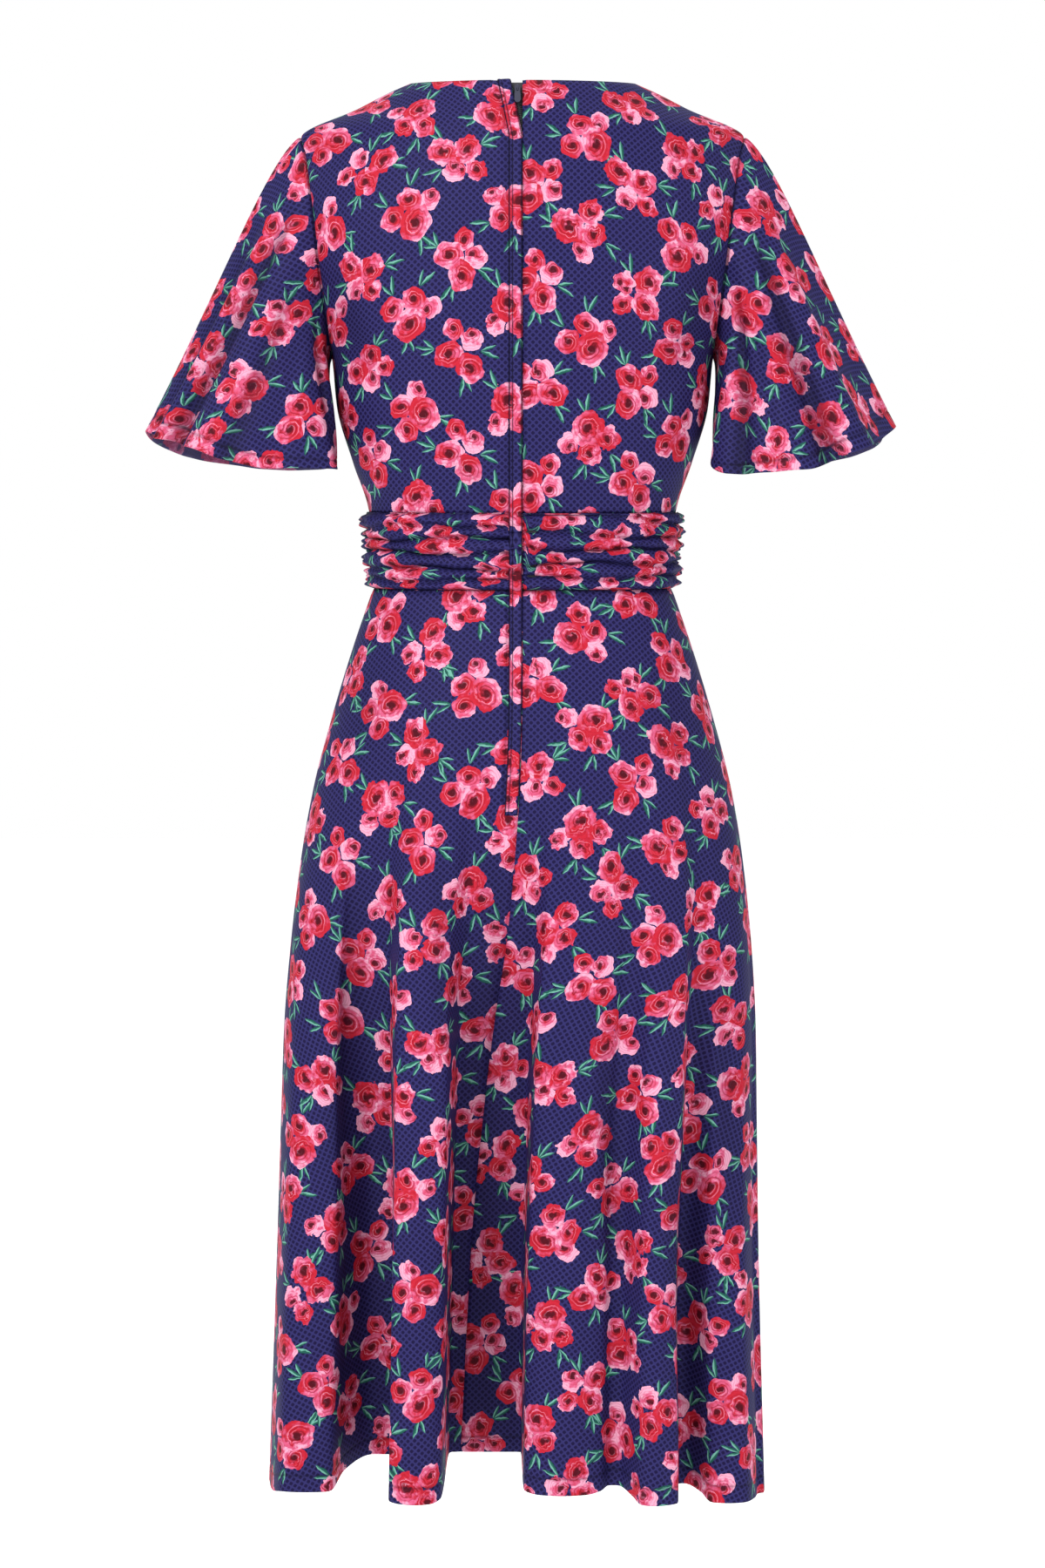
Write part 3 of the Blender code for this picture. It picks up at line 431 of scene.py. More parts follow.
def sheet(node, look, outer, normal, spots, ring=False, thick=SHELL, shade=None):
    """A thin closed mesh under the outer grid, in place of one CAD node. spots are the print's coordinates
    in metres, and shade is painted shade, 0 to 1, that darkens the cloth in folds and lines finer than the
    mesh."""
    rows, columns = outer.shape[:2]
    last = columns if ring else columns - 1
    points = np.concatenate((outer.reshape(-1, 3), (outer - thick * normal).reshape(-1, 3)))
    below = np.array(((rows * columns,), (0,)))

    def corner(row, column):
        """The numbers of a grid point in the mesh and of its spot in the print."""
        return np.stack((row * columns + column % columns, row * (last + 1) + column))

    r, c = (part.ravel() for part in np.meshgrid(np.arange(rows - 1), np.arange(last), indexing="ij"))
    low, low_d, high, high_d = corner(r, c), corner(r, c + 1), corner(r + 1, c), corner(r + 1, c + 1)
    quads = [(low, low_d, high_d, high), [at + below for at in (low, high, high_d, low_d)]]
    step = np.arange(last)
    for row, way in ((0, 1), (rows - 1, -1)):
        a, b = corner(row, step), corner(row, step + 1)
        quads.append((a, a + below, b + below, b)[::way])
    if not ring:
        step = np.arange(rows - 1)
        for column, way in ((0, 1), (columns - 1, -1)):
            a, b = corner(step, column), corner(step + 1, column)
            quads.append((a, b, b + below, a + below)[::way])
    faces, on_print = np.concatenate([np.stack(quad, axis=-1) for quad in quads], axis=1)
    inside = np.zeros(len(faces), int)
    inside[len(r):2 * len(r)] = 1

    mesh = bpy.data.meshes.new(node + "_cloth")
    mesh.vertices.add(len(points))
    mesh.vertices.foreach_set("co", points.ravel())
    mesh.loops.add(faces.size)
    mesh.loops.foreach_set("vertex_index", faces.ravel())
    mesh.polygons.add(len(faces))
    mesh.polygons.foreach_set("loop_start", np.arange(0, faces.size, 4))
    mesh.polygons.foreach_set("material_index", inside)
    mesh.update(calc_edges=True)
    layer = mesh.uv_layers.new(name="Print")
    layer.data.foreach_set("uv", spots.reshape(-1, 2)[on_print.ravel()].ravel())
    # The painted shade is kept on the mesh for the material; the inner wall has none
    if shade is not None:
        both = np.concatenate((shade.ravel(), np.zeros(rows * columns)))
        mesh.attributes.new("PaintedShade", "FLOAT", "POINT").data.foreach_set("value", both)
    mesh.shade_smooth()

    slot, materials = look
    for material in materials:
        mesh.materials.append(material)
    made = add_object(node + "_cloth", mesh)
    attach(made, "dress")
    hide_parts(node)


def painted_fold_shade(high):
    """Painted shade in the cloth's folds, 0 to 1, by how far below the plain form it lies."""
    return FOLD_SHADE * clamp(-high / FOLD_DEEP)


def ring_closed(grid):
    return np.concatenate((grid, grid[:, :1]), axis=1)


# ---- pieces
def open_left_edge(x, z):
    lean = ZIP_OPENING * clamp(1.0 - z / ZIP_OPENING_FOOT)
    return -lean * clamp(1.0 - np.abs(x) / 0.06)


def round_arm(back, front, back_column, front_column):
    """One column of the back from the shoulder down to the underarm, then one of the front up again."""
    down = back[:BELOW_ARM_ROWS - 1:-1, back_column]
    return np.concatenate((down, front[BELOW_ARM_ROWS + 1:-1, front_column]))


def build_bodice(cloth):
    """Front and two backs. Returns the armhole edges and the centre back edge of the left back."""
    back = half_bodice(front=False)
    left = mirrored(back)
    left[..., 0] += open_left_edge(left[..., 0], left[..., 2])
    front_half = half_bodice(front=True)
    front = np.concatenate((front_half[:, ::-1], mirrored(front_half)[:, ::-1][:, 1:]), axis=1)

    shoulder = BODICE_COLUMNS - NECK_COLUMNS
    # name, form, creases, the column at the middle of the body, how far the print is moved
    pieces = (
        ("bodice_back_right", back, BACK_CREASES, 0, 0.31),
        ("bodice_back_left", left, BACK_CREASES, -1, 0.05),
        ("bodice_front", front, FRONT_CREASES, BODICE_COLUMNS, 0.6),
    )
    for name, grid, creases, middle, moved in pieces:
        across, up = runs(grid)
        high = creased(grid, creases) + rolled(grid, ("bottom", "left", "right"))
        high += WAIST_SEAM_EASE * SEAM_ROLL * bump(up, SEAM_ROLL_WIDE)
        if name == "bodice_back_left":
            high += lap_groove(across[:, -1:] - across, grid[..., 2])
        seam_at_shoulder = np.zeros(grid.shape[1])
        seam_at_shoulder[-shoulder:] = name != "bodice_back_left"
        seam_at_shoulder[:shoulder] = name != "bodice_back_right"
        high -= SEAM_ROLL * bump(up[-1:] - up, SEAM_ROLL_WIDE) * seam_at_shoulder
        shaped = grid + high[..., None] * outward(grid)
        flat = chart(grid, up)
        spots = joined(flat - flat[:, middle:middle + 1 or None] + moved, up + 0.7 * moved)
        sheet(name, cloth, shaped, outward(shaped), spots, shade=painted_fold_shade(high))

    armholes = {}
    for side, body, column, front_column in (("right", back, -1, 0), ("left", left, 0, -1)):
        step = -1 if side == "right" else 1
        edge = round_arm(body, front, column, front_column)
        normal = round_arm(outward(body), outward(front), column, front_column)
        away = edge - round_arm(body, front, column + step, front_column - step)
        away -= normal * np.sum(away * normal, axis=1, keepdims=True)
        armholes[side] = (edge, normal, unit(away))
    return armholes, (left[::-1, -1], outward(left)[::-1, -1])


def build_sleeve(side, armhole, hem_table, cloth):
    """A flared sleeve from the armhole to its waved hem. Rows run from the hem up."""
    edge, body_normal, away = armhole
    mirror = 1.0 if side == "right" else -1.0
    hem_table = np.array(hem_table) / (1, 1000, 1000)
    loop = along(np.vstack((edge, edge[:1])))
    under = int(np.argmin(edge[:, 2]))
    halfway = loop[under]
    turn = np.where(loop[:-1] <= halfway, 180.0 * loop[:-1] / halfway,
                    180.0 + 180.0 * (loop[:-1] - halfway) / (loop[-1] - halfway))
    reach = smooth(turn, hem_table[:, 0], hem_table[:, 1])
    angle = np.radians(turn)
    hem = joined(mirror * (SLEEVE_MIDDLE + reach * np.cos(angle)), -reach * np.sin(angle),
                 smooth(turn, hem_table[:, 0], hem_table[:, 2]))

    start = edge + ARMHOLE_GAP * unit(away + body_normal)
    chord = hem - start
    length = np.linalg.norm(chord, axis=1, keepdims=True)
    leave = unit(unit(chord) + 0.6 * body_normal)
    near = start + 0.12 * length * leave
    far = hem - 0.5 * chord
    mean = float(length.mean())
    hem_rows = 1.0 - np.array((0.0, 1.2, 3.0, 5.0, 6.2, 6.8, 7.4, 8.2, 10.0)) * MM / mean
    t = np.concatenate((hem_rows, np.linspace(hem_rows[-1], 0.0, SLEEVE_ROWS + 1)[1:]))[:, None, None]
    grid = ((1 - t) ** 3 * start + 3 * t * (1 - t) ** 2 * near + 3 * t ** 2 * (1 - t) * far + t ** 3 * hem)

    high = np.zeros(grid.shape[:2])
    down = t[:, :, 0]
    for from_turn, to_turn, begin, wide, amount in SLEEVE_CREASES[side]:
        middle = from_turn + (to_turn - from_turn) * down
        away_by = np.abs((turn[None] - middle + 180.0) % 360.0 - 180.0)
        rise = clamp((down - begin) / 0.35)
        high += amount * MM * bump(away_by, wide) * rise * rise * (3 - 2 * rise)
    from_hem = (1.0 - down) * mean
    high -= 0.35 * MM * bump(from_hem - SLEEVE_HEM_STITCH, 0.7 * MM)
    high -= SEAM_ROLL * bump(down * mean, SEAM_ROLL_WIDE)
    # Painted shade at the armhole seam under the bodice's edge, and at the hem's stitch line, which is partly
    # dark thread
    lines = 0.45 * bump(from_hem - SLEEVE_HEM_STITCH, 0.9 * MM) + 0.5 * bump(down * mean, 2.5 * MM)
    # Two rows more turn the seam's edge in, under the bodice
    tuck = np.stack((edge + ARMHOLE_GAP * away, edge - TUCK_LONG * away)) - TUCK_UNDER * body_normal
    if side == "right":
        grid, high, tuck = grid[:, ::-1], high[:, ::-1], tuck[:, ::-1]
    shaped = grid + high[..., None] * outward(grid, ring=True)
    # Painted shade in the sleeve's folds, and over the turned-in edge under the bodice
    shade = np.concatenate((lines + painted_fold_shade(high), np.full(tuck.shape[:2], TUCK_SHADE)))
    shaped = np.concatenate((shaped, tuck))
    under_arm = int(np.argmin(tuck[-1, :, 2]))
    shaped, shade = (np.roll(part, -under_arm, axis=1) for part in (shaped, shade))

    # The print: a cone opened flat, by the turn round the sleeve's own leaning middle line
    closed = ring_closed(shaped)
    x, y, z = mirror * closed[..., 0], closed[..., 1], closed[..., 2]
    down_arm = z - SLEEVE_CONE_FOOT
    turned = np.unwrap(np.arctan2(-y, x - SLEEVE_MIDDLE + SLEEVE_LEAN * down_arm), axis=1)
    outer = int(np.argmax(x[0]))
    turned -= math.tau * np.round(turned[:, outer:outer + 1] / math.tau)
    slant_long = np.maximum(SLEEVE_RADIUS - SLEEVE_TAPER * down_arm, SLEEVE_LEAST) / SLEEVE_SPREAD
    way = SLEEVE_SPREAD * turned + SLEEVE_SLANT
    moved = 0.31 if side == "right" else 0.74
    spots = joined(slant_long * np.sin(way) + moved, -slant_long * np.cos(way) - moved)
    normal = outward(shaped, ring=True)
    sheet("sleeve_" + side, cloth, shaped, normal, spots, ring=True, shade=shade)


def ring_section(half, depth_back, depth_front, square, share):
    """A section of the skirt: share 0 to 0.5 runs over the back from the left side seam, then front."""
    fine = np.linspace(-math.pi / 2, math.pi / 2, 241)
    x = half * np.sign(fine) * np.abs(np.sin(fine)) ** (2 / square)
    bow = np.maximum(np.cos(fine), 0.0) ** (2 / square)
    back = joined(x, -depth_back * bow)
    front = joined(x[::-1], depth_front * bow)
    over_back = clamp(share / 0.5)
    over_front = clamp((share - 0.5) / 0.5)
    points = []
    for line, part in ((back, over_back), (front, over_front)):
        run = along(line)
        points.append(spots_along(part * run[-1], run, line))
    return np.where((share <= 0.5)[..., None], points[0], points[1])


def hem_points(folds, to_front):
    sign = 1.0 if to_front else -1.0
    points = [(HEM_SIDE_LEFT, 0.0, HEM_SIDE_HEIGHT)]
    before, before_z = 0.035, HEM_SIDE_HEIGHT
    folds = np.array(folds) / (1000, 1000, 1, 1, 1000, 1000, 1000, 1000, 1000, 1000)
    for left, right, crisp_left, crisp_right, crest, crest_z, valley, half, depth, valley_z in folds:
        wide = right - left
        points += [
            (left, sign * (before + crisp_left * (crest - before)),
             before_z + crisp_left * (crest_z - before_z)),
            (left + 0.2 * wide, sign * 0.97 * crest, crest_z),
            (left + 0.5 * wide, sign * crest, crest_z),
            (right - 0.2 * wide, sign * 0.97 * crest, crest_z),
            (right, sign * (depth + crisp_right * (crest - depth)),
             valley_z + crisp_right * (crest_z - valley_z)),
            (valley - half, sign * depth, valley_z),
            (valley + half, sign * depth, valley_z),
        ]
        before, before_z = depth, valley_z
    points.append((HEM_SIDE_RIGHT, 0.0, HEM_SIDE_HEIGHT))
    return np.array(points)


def hem_half(folds, to_front, samples=1600):
    points = hem_points(folds, to_front)
    run = along(points[:, :2])
    at = np.linspace(0.0, run[-1], samples)
    line = np.stack([smooth(at, run, points[:, k]) for k in range(3)], axis=-1)
    half, back, front, square, _ = section(SKIRT, HEM)
    depth = front if to_front else -back
    plain = depth * (1.0 - np.clip(np.abs(line[:, 0]) / half, 0, 1) ** square) ** (1 / square)
    damped = joined(line[:, 0], 0.85 * plain + 0.15 * line[:, 1])
    share = along(damped)
    return line, 0.5 * share / share[-1]


def skirt_rows():
    """Shares of the way from waist to hem, close together at the hem's stitch line."""
    long = BAND_FOOT - HEM
    near_hem = 1.0 - np.array((19.0, 16.5, 15.0, 14.2, 13.5, 12.8, 12.0, 9.0, 6.0, 3.0, 1.2, 0.0)) * MM / long
    return np.concatenate((np.linspace(0.0, near_hem[0], 118)[:-1], near_hem))


def skirt_grid():
    """The whole skirt as one ring, hem row first, the share down it, and where its panels start."""
    back_line, back_share = hem_half(BACK_FOLDS, to_front=False)
    front_line, front_share = hem_half(FRONT_FOLDS, to_front=True)
    front_line, front_share = front_line[::-1], 0.5 + (0.5 - front_share[::-1])
    line = np.concatenate((back_line, front_line[1:]))
    share = np.concatenate((back_share, front_share[1:]))
    run = along(line[:, :2])

    in_valley = (np.abs(back_line[:, 0] - CENTRE_BACK_AT_HEM) < 0.004) & (back_line[:, 1] > -0.04)
    centre = int(np.mean(np.nonzero(in_valley)[0]))
    stops = (0, centre, len(back_line) - 1, len(line) - 1)
    at = np.concatenate([np.linspace(run[a], run[b], n, endpoint=False)
                         for a, b, n in zip(stops[:-1], stops[1:], SKIRT_COLUMNS)])
    column_share = np.interp(at, run, share)
    centre_share = share[centre]

    hem_section = section(SKIRT, HEM)[:4]
    rows = []
    for down in skirt_rows():
        z = BAND_FOOT + down * (HEM - BAND_FOOT)
        half, back, front, square, formed = section(SKIRT, z)
        loose = 1.0 - min(formed / 0.25, 1.0)
        reach = np.where(column_share < centre_share, 0.012 + 0.12 * loose, 0.064 + 0.08 * loose)
        near_centre = clamp(1.0 - np.abs(column_share - centre_share) / reach)
        spot = column_share + (0.25 - centre_share) * (1.0 - formed) * near_centre
        hem = spots_along(spot, share, line)
        plain = ring_section(half, back, front, square, spot)
        folded = formed * (hem[:, :2] - ring_section(*hem_section, spot))
        height = BAND_FOOT + down * (hem[:, 2] - BAND_FOOT)
        rows.append(np.column_stack((plain + folded, height)))
    starts = np.cumsum((0,) + SKIRT_COLUMNS)
    return np.array(rows[::-1]), starts


def build_skirt(cloth):
    """Two back panels and a front. Returns the centre back edge and its normals, waist first."""
    grid, starts = skirt_grid()
    down = skirt_rows()[::-1, None]
    closed = ring_closed(grid)
    over_back = np.arange(closed.shape[1]) <= starts[2]
    high = np.where(over_back, creased(closed, SKIRT_BACK_CREASES), creased(closed, SKIRT_FRONT_CREASES))
    high *= clamp(np.abs(closed[..., 1]) / 0.05)
    from_hem = (1.0 - down) * (BAND_FOOT - HEM)
    high -= 0.45 * MM * bump(from_hem - SKIRT_HEM_STITCH, 0.9 * MM)
    # The hem's stitch line: partly dark thread, partly painted shade in its groove
    stitch_and_shade = 0.4 * bump(from_hem - SKIRT_HEM_STITCH, 1.2 * MM)
    high -= SEAM_ROLL * bump(down * (BAND_FOOT - HEM), SEAM_ROLL_WIDE)
    normal = ring_closed(outward(grid, ring=True))
    high[:, -1] = high[:, 0]
    to_centre = runs(closed)[0]
    to_centre = to_centre[:, starts[1]:starts[1] + 1] - to_centre
    high += lap_groove(to_centre, closed[..., 2])
    shaped = closed + high[..., None] * normal

    # The print: a cut cone, so it turns with the flare. Radius grows down the cloth from the waist.
    across, up = runs(closed)
    length = (up[-1:] - up).mean(axis=1, keepdims=True)
    z = closed[..., 2]
    mean_drop = z.mean(axis=1, keepdims=True) - BAND_FOOT - 1e-9
    radius = SKIRT_CONE_TOP + length * (z - BAND_FOOT) / mean_drop
    centre = starts[1]
    turn = (across - across[:, centre:centre + 1]) / radius
    normal = ring_closed(outward(shaped[:, :-1], ring=True))
    for k, name in enumerate(("skirt_back_left", "skirt_back_right", "skirt_front")):
        part = slice(starts[k], starts[k + 1] + 1)
        own = turn[:, part] - (turn[:, starts[2]:starts[2] + 1] if name == "skirt_front" else 0.0)
        if name == "skirt_front":
            own = own - 0.5 * own[:, -1:]
        sideways = radius[:, part] * np.sin(own) + 0.23 * k
        spots = joined(sideways, -radius[:, part] * np.cos(own) - 0.13 * k)
        piece = shaped[:, part] + rolled(closed[:, part], ("left", "right"))[..., None] * normal[:, part]
        shade = stitch_and_shade + painted_fold_shade(high[:, part])
        sheet(name, cloth, piece, normal[:, part], spots, shade=shade)
    return grid[::-1, centre], normal[::-1, centre]


def band_height(quarter, aside, down):
    """How far the gathered cloth stands out: rolls between wandering valleys, with fine puckers."""
    level = [np.zeros_like(aside)]
    depth = [np.ones_like(aside)]
    for k, (at_middle, at_side, deep) in enumerate(BAND_VALLEYS[quarter]):
        wander = 0.026 * np.sin(math.tau * (1.4 * aside + 0.37 * k + 0.21 * quarter))
        wander += 0.01 * np.sin(math.tau * (4.3 * aside + 0.61 * k + 0.4 * quarter))
        level.append(np.clip(at_middle + (at_side - at_middle) * aside ** 1.3 + wander, 0.02 * (k + 1), 0.97))
        ripple = 0.5 + 0.5 * np.sin(math.tau * (1.1 * aside + 0.29 * k + 0.13 * quarter))
        depth.append(deep * (0.55 + 0.45 * ripple))
    level.append(np.ones_like(aside))
    depth.append(np.ones_like(aside))
    height = np.zeros_like(aside)
    for k in range(len(level) - 1):
        gap = np.maximum(level[k + 1] - level[k], 1e-4)
        t = (down - level[k]) / gap
        within = (t >= 0.0) & (t <= 1.0)
        t = clamp(t)
        full = np.clip(gap / 0.2, 0.25, 1.1) ** 0.5
        roll = full * (1.0 - np.abs(2.0 * t ** 1.25 - 1.0) ** 2.0) ** 0.62
        floor = (1.0 - depth[k]) * (1.0 - t) + (1.0 - depth[k + 1]) * t
        height = np.where(within, np.maximum(roll, 0.75 * floor), height)
    near_side = bump(1.0 - aside, 0.16)
    near_middle = bump(aside, 0.1)
    fine = np.sin(math.tau * (down * 10.0 + 0.8 * np.sin(9.0 * aside) + 0.3 * quarter))
    along_it = np.sin(math.tau * (aside * 9.0 + 2.1 * down + 0.7 * quarter))
    height += 0.22 * fine * near_side + 0.14 * fine * near_middle + 0.05 * along_it
    at_seam = clamp(1.0 - np.minimum(down, 1.0 - down) / 0.04)
    return np.clip(np.maximum(height, 0.24 * at_seam), 0.0, 1.25)


def build_band(cloth):
    """The gathered midriff. Returns its centre back edge and normals, top first."""
    level = np.linspace(BAND_FOOT, BAND_TOP, BAND_ROWS + 1)
    share = np.linspace(0.0, 1.0, 4 * BAND_COLUMNS, endpoint=False)
    quarter = np.minimum((share * 4).astype(int), 3)
    aside = np.where(quarter < 2, np.abs(share - 0.25) / 0.25, np.abs(share - 0.75) / 0.25)
    grid, shade = [], []
    for z in level:
        half, back, front, square, _ = section(TORSO, z)
        down = np.full_like(share, (BAND_TOP - z) / (BAND_TOP - BAND_FOOT))
        out = np.choose(quarter, [band_height(q, aside, down) for q in range(4)])
        meet = clamp(aside / 0.03)
        at_middle = 0.5 * (band_height(0, 0 * share, down) + band_height(1, 0 * share, down))
        out = out * meet + at_middle * (1.0 - meet)
        # Painted shade in the band's valleys, where the rolls stand low
        shade.append(BAND_SHADE * clamp(1.0 - out / 0.5))
        out = BAND_LOW + (BAND_HIGH - BAND_LOW) * out
        middle = ring_section(half + GATHER_AT_SIDES, back, front, square, share)
        wider = ring_section(half + GATHER_AT_SIDES + 1 * MM, back + 1 * MM, front + 1 * MM, square, share)
        flat_ring = middle + (wider - middle) * (out / MM)[:, None]
        grid.append(np.column_stack((flat_ring, np.full(len(share), z))))
    grid, shade = np.array(grid), np.array(shade)
    closed, shade, normal = (ring_closed(part) for part in (grid, shade, outward(grid, ring=True)))
    for name, first, last in (("band_back_left", 0, 1), ("band_back_right", 1, 2), ("band_front", 2, 4)):
        part = slice(first * BAND_COLUMNS, last * BAND_COLUMNS + 1)
        piece = closed[:, part]
        piece = piece + rolled(piece, ("left", "right"))[..., None] * normal[:, part]
        across, up = runs(piece)
        spots = joined(across + 0.37 * first, BAND_PRINT_STRETCH * up + 0.21)
        sheet(name, cloth, piece, outward(piece), spots, shade=shade[:, part])
    return closed[::-1, BAND_COLUMNS], normal[::-1, BAND_COLUMNS]


def build_zip(bodice, band, skirt, cloth, tape):
    """The folded lap, the black tape behind the opening, and the closed coil below the slider."""
    line, normal = (np.vstack((bodice[k], band[k][1:-1], skirt[k])) for k in (0, 1))
    keep = line[:, 2] > ZIP_FOOT
    line, normal = line[keep], normal[keep]
    normal = normal.copy()
    normal[:, 0] = 0.0
    normal = unit(normal)
    run = along(line)
    even = np.linspace(0.0, run[-1], 300)
    line = spots_along(even, run, line)
    normal = unit(spots_along(even, run, normal))

    above_band = float(np.interp(-BAND_TOP, -line[:, 2], even))

    # Painted shade along the lap: shadow at its stitched edge and in the opening at its fold, and the stitch
    # line, partly dark thread
    across, height, shade = LAP_PROFILE.T
    shade = np.repeat(shade[None], len(line), axis=0)
    over_band = bump(line[:, 2] - (BAND_TOP + BAND_FOOT) / 2, 0.03)
    pucker = 0.5 * MM * np.sin(math.tau * line[:, 2] / 0.0075) * over_band
    x = -LAP_WIDTH + (LAP_WIDTH - SEAM_GAP) * across
    grid = line[:, None] + x[None, :, None] * np.array((1.0, 0.0, 0.0))
    lift = height[None] * MM + 1.1 * MM * over_band[:, None] + pucker[:, None]
    outer = (grid + lift[..., None] * normal[:, None])[::-1]
    spots = np.stack(np.broadcast_arrays(x[None] + 0.05, (above_band - even)[::-1][:, None] + 0.035), axis=-1)
    facing = normal[::-1][:, None]
    sheet("zip_lap", cloth, outer, np.repeat(facing, len(x), axis=1), spots,
          thick=LAP_THICK, shade=shade)

    middle = line * np.array((0.5, 1.0, 1.0)) - TAPE_BEHIND * normal
    columns = np.linspace(-TAPE_WIDTH / 2, TAPE_WIDTH / 2, 13)
    grid = (middle[:, None] + columns[None, :, None] * np.array((1.0, 0.0, 0.0)))[::-1]
    spots = np.stack(np.broadcast_arrays(columns[None], even[::-1][:, None]), axis=-1)
    facing = np.repeat(facing, len(columns), axis=1)
    sheet("zip_tape", ("tape", (tape, tape)), grid, facing, spots, thick=TAPE_THICK)

    coil_from, coil_to = -0.018, ZIP_OPENING_FOOT - 0.006
    loops = int((coil_from - coil_to) / COIL_PITCH)
    coil = bpy.data.curves.new("zip_coil", "CURVE")
    coil.dimensions = "3D"
    coil.bevel_depth = COIL_WIRE
    coil.bevel_resolution = 2
    steps = COIL_STEPS * loops
    wire = coil.splines.new("POLY")
    wire.points.add(steps)
    for i in range(steps + 1):
        z = coil_from + (coil_to - coil_from) * i / steps
        at = spots_along(-z, -line[:, 2], middle)
        out = spots_along(-z, -line[:, 2], normal)
        turn = math.tau * i / COIL_STEPS
        spot = at + np.array((COIL_HALF * math.cos(turn), 0.0, 0.0))
        spot = spot + (0.75 + 0.45 * math.sin(turn)) * MM * out
        wire.points[i].co = (*spot, 1.0)
    made = add_object("zip_coil", coil)
    coil.materials.append(tape)
    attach(made, "dress")


# ---- materials
class Nodes:
    """Short ways to add shader nodes. A socket is linked; anything else is set on the socket."""

    def __init__(self, material):
        material.use_nodes = True
        self.tree = material.node_tree
        self.shader = self.tree.nodes["Principled BSDF"]

    def put(self, socket, value):
        if isinstance(value, bpy.types.NodeSocket):
            self.tree.links.new(value, socket)
        else:
            socket.default_value = value

    def new(self, kind):
        return self.tree.nodes.new("ShaderNode" + kind)

    def fill(self, node, inputs):
        for socket, value in inputs.items():
            self.put(node.inputs[socket], value)

    def math(self, operation, *values):
        node = self.new("Math")
        node.operation = operation
        self.fill(node, dict(enumerate(values)))
        return node.outputs[0]

    def times(self, first, second):
        return self.math("MULTIPLY", first, second)

    def madd(self, first, second, third):
        """First times second, plus third."""
        return self.math("MULTIPLY_ADD", first, second, third)

    def vector(self, operation, *values):
        node = self.new("VectorMath")
        node.operation = operation
        self.fill(node, dict(zip((0, "Scale") if operation == "SCALE" else (0, 1, 2), values)))
        return node.outputs["Value" if operation == "LENGTH" else "Vector"]

    def mix(self, share, first, second):
        node = self.new("Mix")
        node.data_type = "RGBA"
        first, second = ((*value, 1.0) if isinstance(value, tuple) else value for value in (first, second))
        self.fill(node, {0: share, 6: first, 7: second})
        return node.outputs[2]

    def pick(self, share, first, second):
        node = self.new("Mix")
        node.data_type = "VECTOR"
        self.fill(node, {0: share, 4: first, 5: second})
        return node.outputs[1]

    def ramp(self, value, low, high):
        node = self.new("MapRange")
        node.interpolation_type = "SMOOTHSTEP"
        self.fill(node, {"Value": value, "From Min": low, "From Max": high})
        return node.outputs[0]

    def falling(self, value, low, high):
        """1 below low, 0 above high."""
        return self.math("SUBTRACT", 1.0, self.ramp(value, low, high))

    def turned(self, vector, angle, centre=(0.0, 0.0, 0.0)):
        node = self.new("VectorRotate")
        node.rotation_type = "Z_AXIS"
        self.fill(node, {"Vector": vector, "Center": centre, "Angle": angle})
        return node.outputs[0]

    def split(self, vector):
        node = self.new("SeparateXYZ")
        self.put(node.inputs[0], vector)
        return tuple(node.outputs)

    def join(self, x, y, z):
        node = self.new("CombineXYZ")
        self.fill(node, {0: x, 1: y, 2: z})
        return node.outputs[0]

    def noise(self, vector, scale, detail):
        node = self.new("TexNoise")
        node.noise_dimensions = "2D"
        self.fill(node, {"Vector": vector, "Scale": scale, "Detail": detail})
        return node.outputs["Fac"], node.outputs["Color"]


def cluster_frame(n, place, shift, seed):
    """Splits the cloth into cells and gives each its own turn. Returns the spot in the cell's own frame,
    in mm, and the cell's random numbers."""
    cells = n.vector("SCALE", n.vector("ADD", place, (shift, shift, 0.0)), 1.0 / CELL)
    white = n.new("TexWhiteNoise")
    white.noise_dimensions = "3D"
    n.put(white.inputs["Vector"], n.vector("ADD", n.vector("FLOOR", cells), (0.5, 0.5, seed)))
    luck = white.outputs["Color"]
    local = n.vector("MULTIPLY_ADD", n.vector("FRACTION", cells), (CELL, CELL, 0.0),
                     (-CELL / 2 - JITTER, -CELL / 2 - JITTER, 0.0))
    local = n.vector("MULTIPLY_ADD", luck, (2 * JITTER, 2 * JITTER, 0.0), local)
    angle = n.times(white.outputs["Value"], math.tau)
    return n.turned(local, angle), luck


def leaves(n, local, sprigs, found):
    """Adds slim pointed leaves in twos and threes. Carries the nearest leaf's own coordinates."""
    for base_x, base_y, heading, count in sprigs:
        for aside, long, wide in LEAF_FANS[count]:
            way = math.radians(heading + aside)
            x = base_x + (long + 0.5) * math.cos(way)
            y = base_y + (long + 0.5) * math.sin(way)
            own = n.turned(local, -way, (x, y, 0.0))
            own = n.vector("MULTIPLY_ADD", own, (1 / long, 1 / wide, 0.0), (-x / long, -y / wide, 0.0))
            u, v, _ = n.split(own)
            edge = n.madd(u, u, n.math("ABSOLUTE", v))
            found = n.pick(n.math("LESS_THAN", edge, 1.0), found, own)
    return found


